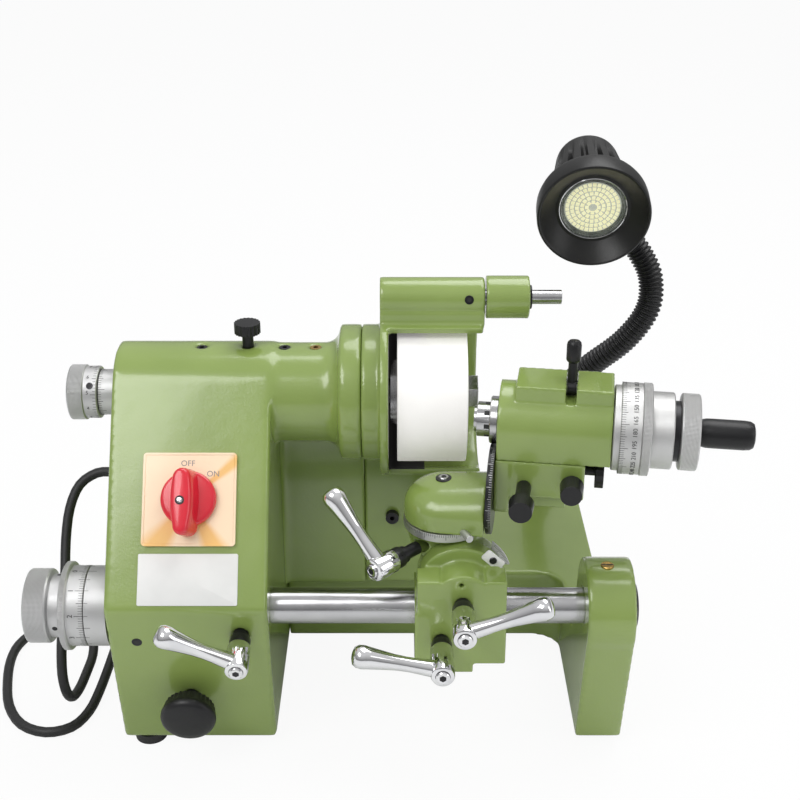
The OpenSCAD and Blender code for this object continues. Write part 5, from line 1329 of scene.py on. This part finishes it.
# %% [markdown]
# ## Knurled drums
# A knurl is pressed into the drum by two wheels whose lines cross, so it is a fine field of diamonds. At this
# size it is a finish, not a mesh: the angle round the drum and the place along it drive two crossed sine
# waves, and their product is the height of a bump.

# %% Knurled finish


def knurled(name, base, axis, count, pitch):
    """A copy of a turned finish with count diamonds round an axis, and a pitch in millimetres along it."""
    material = base.copy()
    material.name = name
    tree = material.node_tree
    axes = add_axes(tree, axis)
    around = add_math(tree, "MULTIPLY", add_math(tree, "ARCTAN2", axes["Y"], axes["Z"]), count)
    along = add_math(tree, "MULTIPLY", axes["X"], math.tau / (pitch * MM))
    one_way = add_math(tree, "SINE", add_math(tree, "ADD", around, along))
    other_way = add_math(tree, "SINE", add_math(tree, "SUBTRACT", around, along))
    bump = tree.nodes.new("ShaderNodeBump")
    bump.inputs["Strength"].default_value = 0.9
    bump.inputs["Distance"].default_value = 0.35 * MM
    link_nodes(
        tree,
        (add_math(tree, "MULTIPLY", one_way, other_way), bump.inputs["Height"]),
        (bump.outputs[0], tree.nodes["Principled BSDF"].inputs["Normal"]),
    )
    return material


# %% [markdown]
# A drum is turned in one go, but its knurled band and its black parts need a finish of their own. Its outline
# is cut into sections at those places, and each section is spun with its own finish.

# %% Quill dial, feed dial and index rings


def drum(node, axis, start, sections, *materials):
    """A drum spun about the X axis of a frame; a section is a finish and (radius, x) points from start."""
    bm = bmesh.new()
    for index, outline in sections:
        add_spun(bm, [(radius, start + x) for radius, x in outline], axis @ ALONG_X, 96, index)
    return dress(node, bm, *materials, smooth=30)


quill_knurl = knurled("quill_knurl", satin, QUILL_AXIS, 70, 1.7)
quill_dial = drum("quill_dial", QUILL_AXIS, 0, [
    (0, [(0, -237.3), (17.6, -237.3), (19.4, -236.6), (19.95, -235.9)]),
    (1, [(19.95, -235.9), (19.95, -226.0)]),
    (0, [(19.95, -226.0), (19.4, -225.4), (18.9, -225.2), (18.9, -216.1), (18.4, -215.5), (16.7, -215.45)]),
], satin, quill_knurl)
feed_knurl = knurled("feed_knurl", satin, FEED_AXIS, 96, 1.7)
feed_dial = drum("feed_dial", FEED_AXIS, 0, [
    (0, [(0, -259.3), (23.4, -259.3), (25.4, -258.5), (25.95, -257.6)]),
    (1, [(25.95, -257.6), (25.95, -244.2)]),
    (0, [(25.95, -244.2), (25.2, -243.0), (22.6, -242.4), (22.0, -242.0), (22.0, -233.6), (30.0, -233.3),
         (30.95, -232.7)]),
    (1, [(30.95, -232.7), (30.95, -229.2)]),
    (0, [(30.95, -229.2), (30.3, -228.5), (28.2, -228.4), (28.0, -228.2), (28.0, -217.1), (27.5, -216.5),
         (20, -216.4)]),
], satin, feed_knurl)
index_knurl = knurled("index_knurl", head_satin, HEAD_AXIS, 118, 1.6)
index_rings = drum("index_rings", HEAD_AXIS, RINGS_X, [
    (0, [(20, 0.05), (28.4, 0.05), (29.0, 0.6), (29.0, 4.5), (30.6, 4.7), (31.0, 5.1), (31.0, 18.3),
         (30.6, 18.6), (31.0, 18.8), (31.45, 19.2)]),
    (1, [(31.45, 19.2), (31.45, 24.4)]),
    (0, [(31.45, 24.4), (30.6, 25.0), (26.6, 25.1), (26.0, 25.5), (26.0, 39.0), (25.2, 39.8), (21.6, 39.95)]),
    (2, [(21.6, 39.95), (20.5, 38.5), (20.5, 43.8)]),
], head_satin, index_knurl, black_oxide)
print("faces of the drums:", [len(piece.data.polygons) for piece in (quill_dial, feed_dial, index_rings)])

# %% [markdown]
# The infeed knob on the chin is a black moulding with a domed top. Its skirt is fluted for the fingers, in
# the same way as the hub of a lever.

# %% Infeed knob
KNOB = on(CHIN, -148, -83)
KNOB_COLUMNS, SKIRT_R, SKIRT_TOP = 60, 16, 18.5
KNOB_OUTLINE = [(4.8, 10.05), (16.6, 10.05), (17.6, 10.8), (18.9, 17.6), (19.45, 19.2), (19.3, 21.0),
                (18.4, 23.2), (16.2, 24.8), (12, 25.6), (6, 25.95), (0, 25.95)]


def knob_share(column, radius, height):
    """Every second column of the skirt is drawn in."""
    return FLUTE_SHARE if column % 2 and radius > SKIRT_R and height < SKIRT_TOP else 1


bm = bmesh.new()
add_spun(bm, [(4.9, -20), (4.9, 9.9)], KNOB, 24)
draw_in(add_spun(bm, KNOB_OUTLINE, KNOB, KNOB_COLUMNS), KNOB, KNOB_COLUMNS, knob_share)
infeed_knob = dress("infeed_knob", bm, black_moulding, smooth=40)
print("faces of the infeed knob:", len(infeed_knob.data.polygons))

# %% [markdown]
# The drawbar pulls the collet tight. Its knurled nut sits to the right of the index rings and ends in a black
# handle. At the other end of the spindle a bright ring goes round the nose.

# %% Drawbar handle and nose ring
HANDLE_X = RINGS_X + 44.0
drawbar_knurl = knurled("drawbar_knurl", head_satin, HEAD_AXIS, 96, 1.7)
drawbar = drum("drawbar_handle", HEAD_AXIS, HANDLE_X, [
    (0, [(16, 0.05), (24.6, 0.05), (25.6, 0.6), (25.95, 1.3)]),
    (1, [(25.95, 1.3), (25.95, 11.6)]),
    (0, [(25.95, 11.6), (25.2, 12.5), (23.0, 12.9), (14.0, 12.9), (13.0, 12.4), (9, 12.4)]),
    (2, [(9.0, 12.2), (9.2, 14.5), (9.9, 17.5), (10.0, 22), (10.0, 42.5), (9.6, 46.5), (8.2, 48.9),
         (5.4, 49.8), (0, 49.95)]),
], head_satin, drawbar_knurl, black_moulding)
nose_ring = spun_piece(
    "nose_ring", [(12, 28.4), (15.6, 28.4), (16.3, 29.1), (16.3, 33.5), (15.8, 34.1), (12, 34.1)],
    HEAD_AXIS @ ALONG_X, 64, "index", "satin_aluminium", head_steel)
print("faces of drawbar and ring:", [len(piece.data.polygons) for piece in (drawbar, nose_ring)])

# %% [markdown]
# The index pawl stands on top of the workhead. It is a small black drum on its pivot with a slim handle, two
# spun forms that simply overlap.

# %% Index pawl
PAWL_X, PAWL_Z, PAWL_LEAN = 82.05, 273.35, -8
PAWL = on(HEAD_TURN, PAWL_X, HEAD_Y, PAWL_Z) @ turn_by(PAWL_LEAN, "X")
bm = bmesh.new()
add_spun(bm, [(0, -3.1), (4.6, -3.1), (5.0, -2.7), (5.0, 2.7), (4.6, 3.1), (0, 3.1)], PAWL @ ALONG_X, 32)
add_spun(bm, [(3.4, 2), (3.1, 8), (3.2, 17.4), (4.4, 18.6), (4.9, 19.6), (5.0, 29.5), (4.5, 31.6),
              (3.2, 32.8), (0, 33.1)], PAWL, 28)
pawl = dress("index_pawl", bm, black_moulding)
print("faces of the pawl:", len(pawl.data.polygons))

# %% [markdown]
# ## Lamp
# The neck is a ribbed hose. A straight hose is made first, by spinning one outline with all its ribs. A Curve
# modifier then lays it along the neck's line, and the bent mesh is kept.

# %% Ribbed gooseneck
NECK = [
    (120, 285, 90.35), (120, 285, 110.35), (124, 280, 140), (136, 262, 176), (154, 244, 207), (180, 234, 235),
    (196, 232, 262), (197, 236, 287), (188, 240, 306), (177, 242, 319), (171, 242, 328), (165, 242, 338),
]
RIBS, NECK_R, RIB_DEPTH, NECK_BORE_R = 84, 10.0, 1.7, 5.2
RIB_SHAPE = ((0.0, 0.0), (0.18, 0.12), (0.32, 0.72), (0.5, 1.0), (0.68, 0.72), (0.82, 0.12))
neck_line = smooth_line([at(*p) for p in NECK], 8)
neck_length = line_length(neck_line)
outline = [(NECK_BORE_R, 0.0)]
for i in range(RIBS):
    for share, lift in RIB_SHAPE:
        outline.append((NECK_R - RIB_DEPTH * (1 - lift), (i + share) / RIBS * neck_length / MM))
outline += [(NECK_R - RIB_DEPTH, neck_length / MM), (NECK_BORE_R, neck_length / MM)]
bm = bmesh.new()
add_spun(bm, outline, ALONG_X, 22)
straight = bpy.data.meshes.new("straight_hose")
bm.to_mesh(straight)
bm.free()
hose = bpy.data.objects.new("straight_hose", straight)
path = bpy.data.objects.new("neck_path", curve_along("neck_path", neck_line, 0.0))
scene.collection.objects.link(hose)
scene.collection.objects.link(path)
bend = hose.modifiers.new("bend", "CURVE")
bend.object = path
bend.deform_axis = "POS_X"
bent = evaluated_mesh(hose)
bent.name = "ribbed_neck"
for holder in (hose, path):
    bpy.data.objects.remove(holder)
bent.shade_smooth()
neck = new_piece("ribbed_neck", bent, "lamp_neck", SLOT_OF["gooseneck"], black_moulding)
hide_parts("gooseneck")
print("neck length in m:", round(neck_length, 3), "faces:", len(bent.polygons))

# %% [markdown]
# The lamp's body is spun from one outline, from the tail over the shade's rim to the inside. The flutes in
# its tail get deeper towards the shade: of every six columns two are drawn in, the more the nearer they are
# to the shade. A short socket joins the body to the neck.

# %% Lamp body
TAIL, FACE = Vector((143, 247, 377)), Vector((139, 165, 358))
SOCKET_LEAN = -31
FLUTES, FLUTE_COLUMNS, FLUTE_FROM, FLUTE_TO, FLUTE_DEPTH, TAIL_R = 17, 6, 6.0, 46.0, 6.5, 20
aim = FACE - TAIL
LAMP_LENGTH = aim.length
LAMP = (Matrix.Translation(at(*TAIL)) @ Matrix.Rotation(math.atan2(aim.y, aim.x), 4, "Z")
        @ Matrix.Rotation(math.acos(aim.z / LAMP_LENGTH), 4, "Y"))
LAMP_OUTLINE = [
    (0, 0.02), (19.0, 0.05), (21.8, 0.7), (23.4, 2.4), (23.9, 4.6), (24.1, FLUTE_FROM), (25.6, 17),
    (27.1, 27), (28.6, 37), (29.7, FLUTE_TO), (29.9, 47.2), (31.0, 50.0), (34.2, 55.5), (37.6, 60.5),
    (39.9, 64.6), (40.8, 67.6), (41.0, 70.0), (41.0, 82.6), (40.6, 83.7), (39.6, 84.2), (38.7, 83.8),
    (38.0, 82.6), (27.6, 72.6), (27.0, 72.1), (24.05, 72.1), (24.05, 69.3), (0, 69.3),
]


def lamp_share(column, radius, height):
    """A flute is two columns wide and gets deeper from one height to another."""
    if column % FLUTE_COLUMNS > 1 or radius < TAIL_R or not FLUTE_FROM < height < FLUTE_TO + 0.3:
        return 1
    deep = FLUTE_DEPTH * (height - FLUTE_FROM) / (FLUTE_TO - FLUTE_FROM)
    return (radius - deep) / radius


bm = bmesh.new()
shell = add_spun(bm, LAMP_OUTLINE, LAMP, FLUTES * FLUTE_COLUMNS)
draw_in(shell, LAMP, FLUTES * FLUTE_COLUMNS, lamp_share)
socket = Matrix.Translation(at(*NECK[-1])) @ turn_by(SOCKET_LEAN, "Y")
add_spun(bm, [(8.4, 0.4), (8.4, 25.5), (0, 26)], socket, 28)
lamp_body = dress("lamp_head", bm, black_satin, smooth=38)
print("lamp length in mm:", round(LAMP_LENGTH, 1), "faces:", len(lamp_body.data.polygons))

# %% [markdown]
# Behind the lens, rings of small square chips sit on a pale board. Board and chips give off a little light,
# enough to read as lit but not to burn out. The lens is clear, with a faint ripple that breaks its highlight.

# %% Finishes of the lamp
LAMP_GLOW = 0.32
board = finish("chip_board", (0.50, 0.52, 0.45), (0.44, 0.46, 0.40), 0.4, drift=60.0)
chip = finish("light_chips", (0.90, 0.86, 0.55), (0.86, 0.80, 0.46), 0.35, drift=300.0)
set_glow(board, (0.45, 0.47, 0.40, 1), LAMP_GLOW)
set_glow(chip, (0.95, 0.93, 0.66, 1), LAMP_GLOW)
rim_glass = finish("lens_rim_glass", (0.16, 0.17, 0.145), (0.09, 0.10, 0.085), 0.10, drift=120.0, metal=0.5)
glass = bpy.data.materials.new("lamp_glass")
glass.use_nodes = True
pane = glass.node_tree.nodes["Principled BSDF"]
pane.inputs["Base Color"].default_value = (0.86, 0.92, 0.90, 1)
pane.inputs["Roughness"].default_value = 0.04
pane.inputs["Alpha"].default_value = 0.06
ripple = glass.node_tree.nodes.new("ShaderNodeBump")
ripple.inputs["Strength"].default_value = 0.04
ripple.inputs["Distance"].default_value = MM
waves = glass.node_tree.nodes.new("ShaderNodeTexNoise")
waves.inputs["Scale"].default_value = 220.0
spot = glass.node_tree.nodes.new("ShaderNodeTexCoord")
link_nodes(
    glass.node_tree,
    (spot.outputs["Object"], waves.inputs["Vector"]),
    (waves.outputs["Fac"], ripple.inputs["Height"]),
    (ripple.outputs[0], pane.inputs["Normal"]),
)
print("finishes in all:", len(bpy.data.materials))

# %% [markdown]
# Lens, board and the two rims are each one spun outline about the lamp's axis. The chips are blocks, more of
# them on each wider ring.

# %% Lens, board and chips
BOARD_Z, LENS_Z = LAMP_LENGTH - 14.9, LAMP_LENGTH - 12.2
CHIP_RINGS = ((4.3, 8), (7.8, 14), (11.4, 21), (15.0, 28), (18.5, 34))
CHIP_SIZE = (2.5, 2.5, 0.7)
LENS_SLOT = SLOT_OF["lamp_lens"]
lens = spun_piece("clear_lens", [
    (23.9, LENS_Z - 0.8), (23.9, LENS_Z - 0.2), (23.5, LENS_Z), (0, LENS_Z + 0.12),
], LAMP, 64, "lamp", LENS_SLOT, glass)
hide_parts("lamp_lens")
spun_piece("light_board", [(20.6, BOARD_Z), (20.6, BOARD_Z + 0.3), (0, BOARD_Z + 0.3)], LAMP, 64, "lamp",
           LENS_SLOT, board)
bm = bmesh.new()
for radius, count in CHIP_RINGS:
    for k in range(count):
        add_block(bm, CHIP_SIZE, on(LAMP @ turn_by(360 * k / count, "Z"), radius, 0, BOARD_Z + 0.6))
from_bmesh("light_chip_grid", bm, "lamp", LENS_SLOT, chip)
spun_piece("lens_rim", [
    (20.6, BOARD_Z + 0.1), (20.9, BOARD_Z + 1.2), (21.6, BOARD_Z + 1.6), (22.3, BOARD_Z + 1.3),
    (22.8, BOARD_Z + 1.7), (23.3, BOARD_Z + 1.9), (23.9, BOARD_Z + 1.6),
], LAMP, 72, "lamp", LENS_SLOT, rim_glass)
spun_piece("lens_ring", [
    (23.9, LENS_Z - 0.4), (24.1, LENS_Z + 0.4), (24.5, LENS_Z + 0.6), (25.0, LENS_Z + 0.3), (25.2, LENS_Z),
], LAMP, 72, "lamp", SLOT_OF["lamp_head"], chrome)
print("light chips:", sum(count for radius, count in CHIP_RINGS))
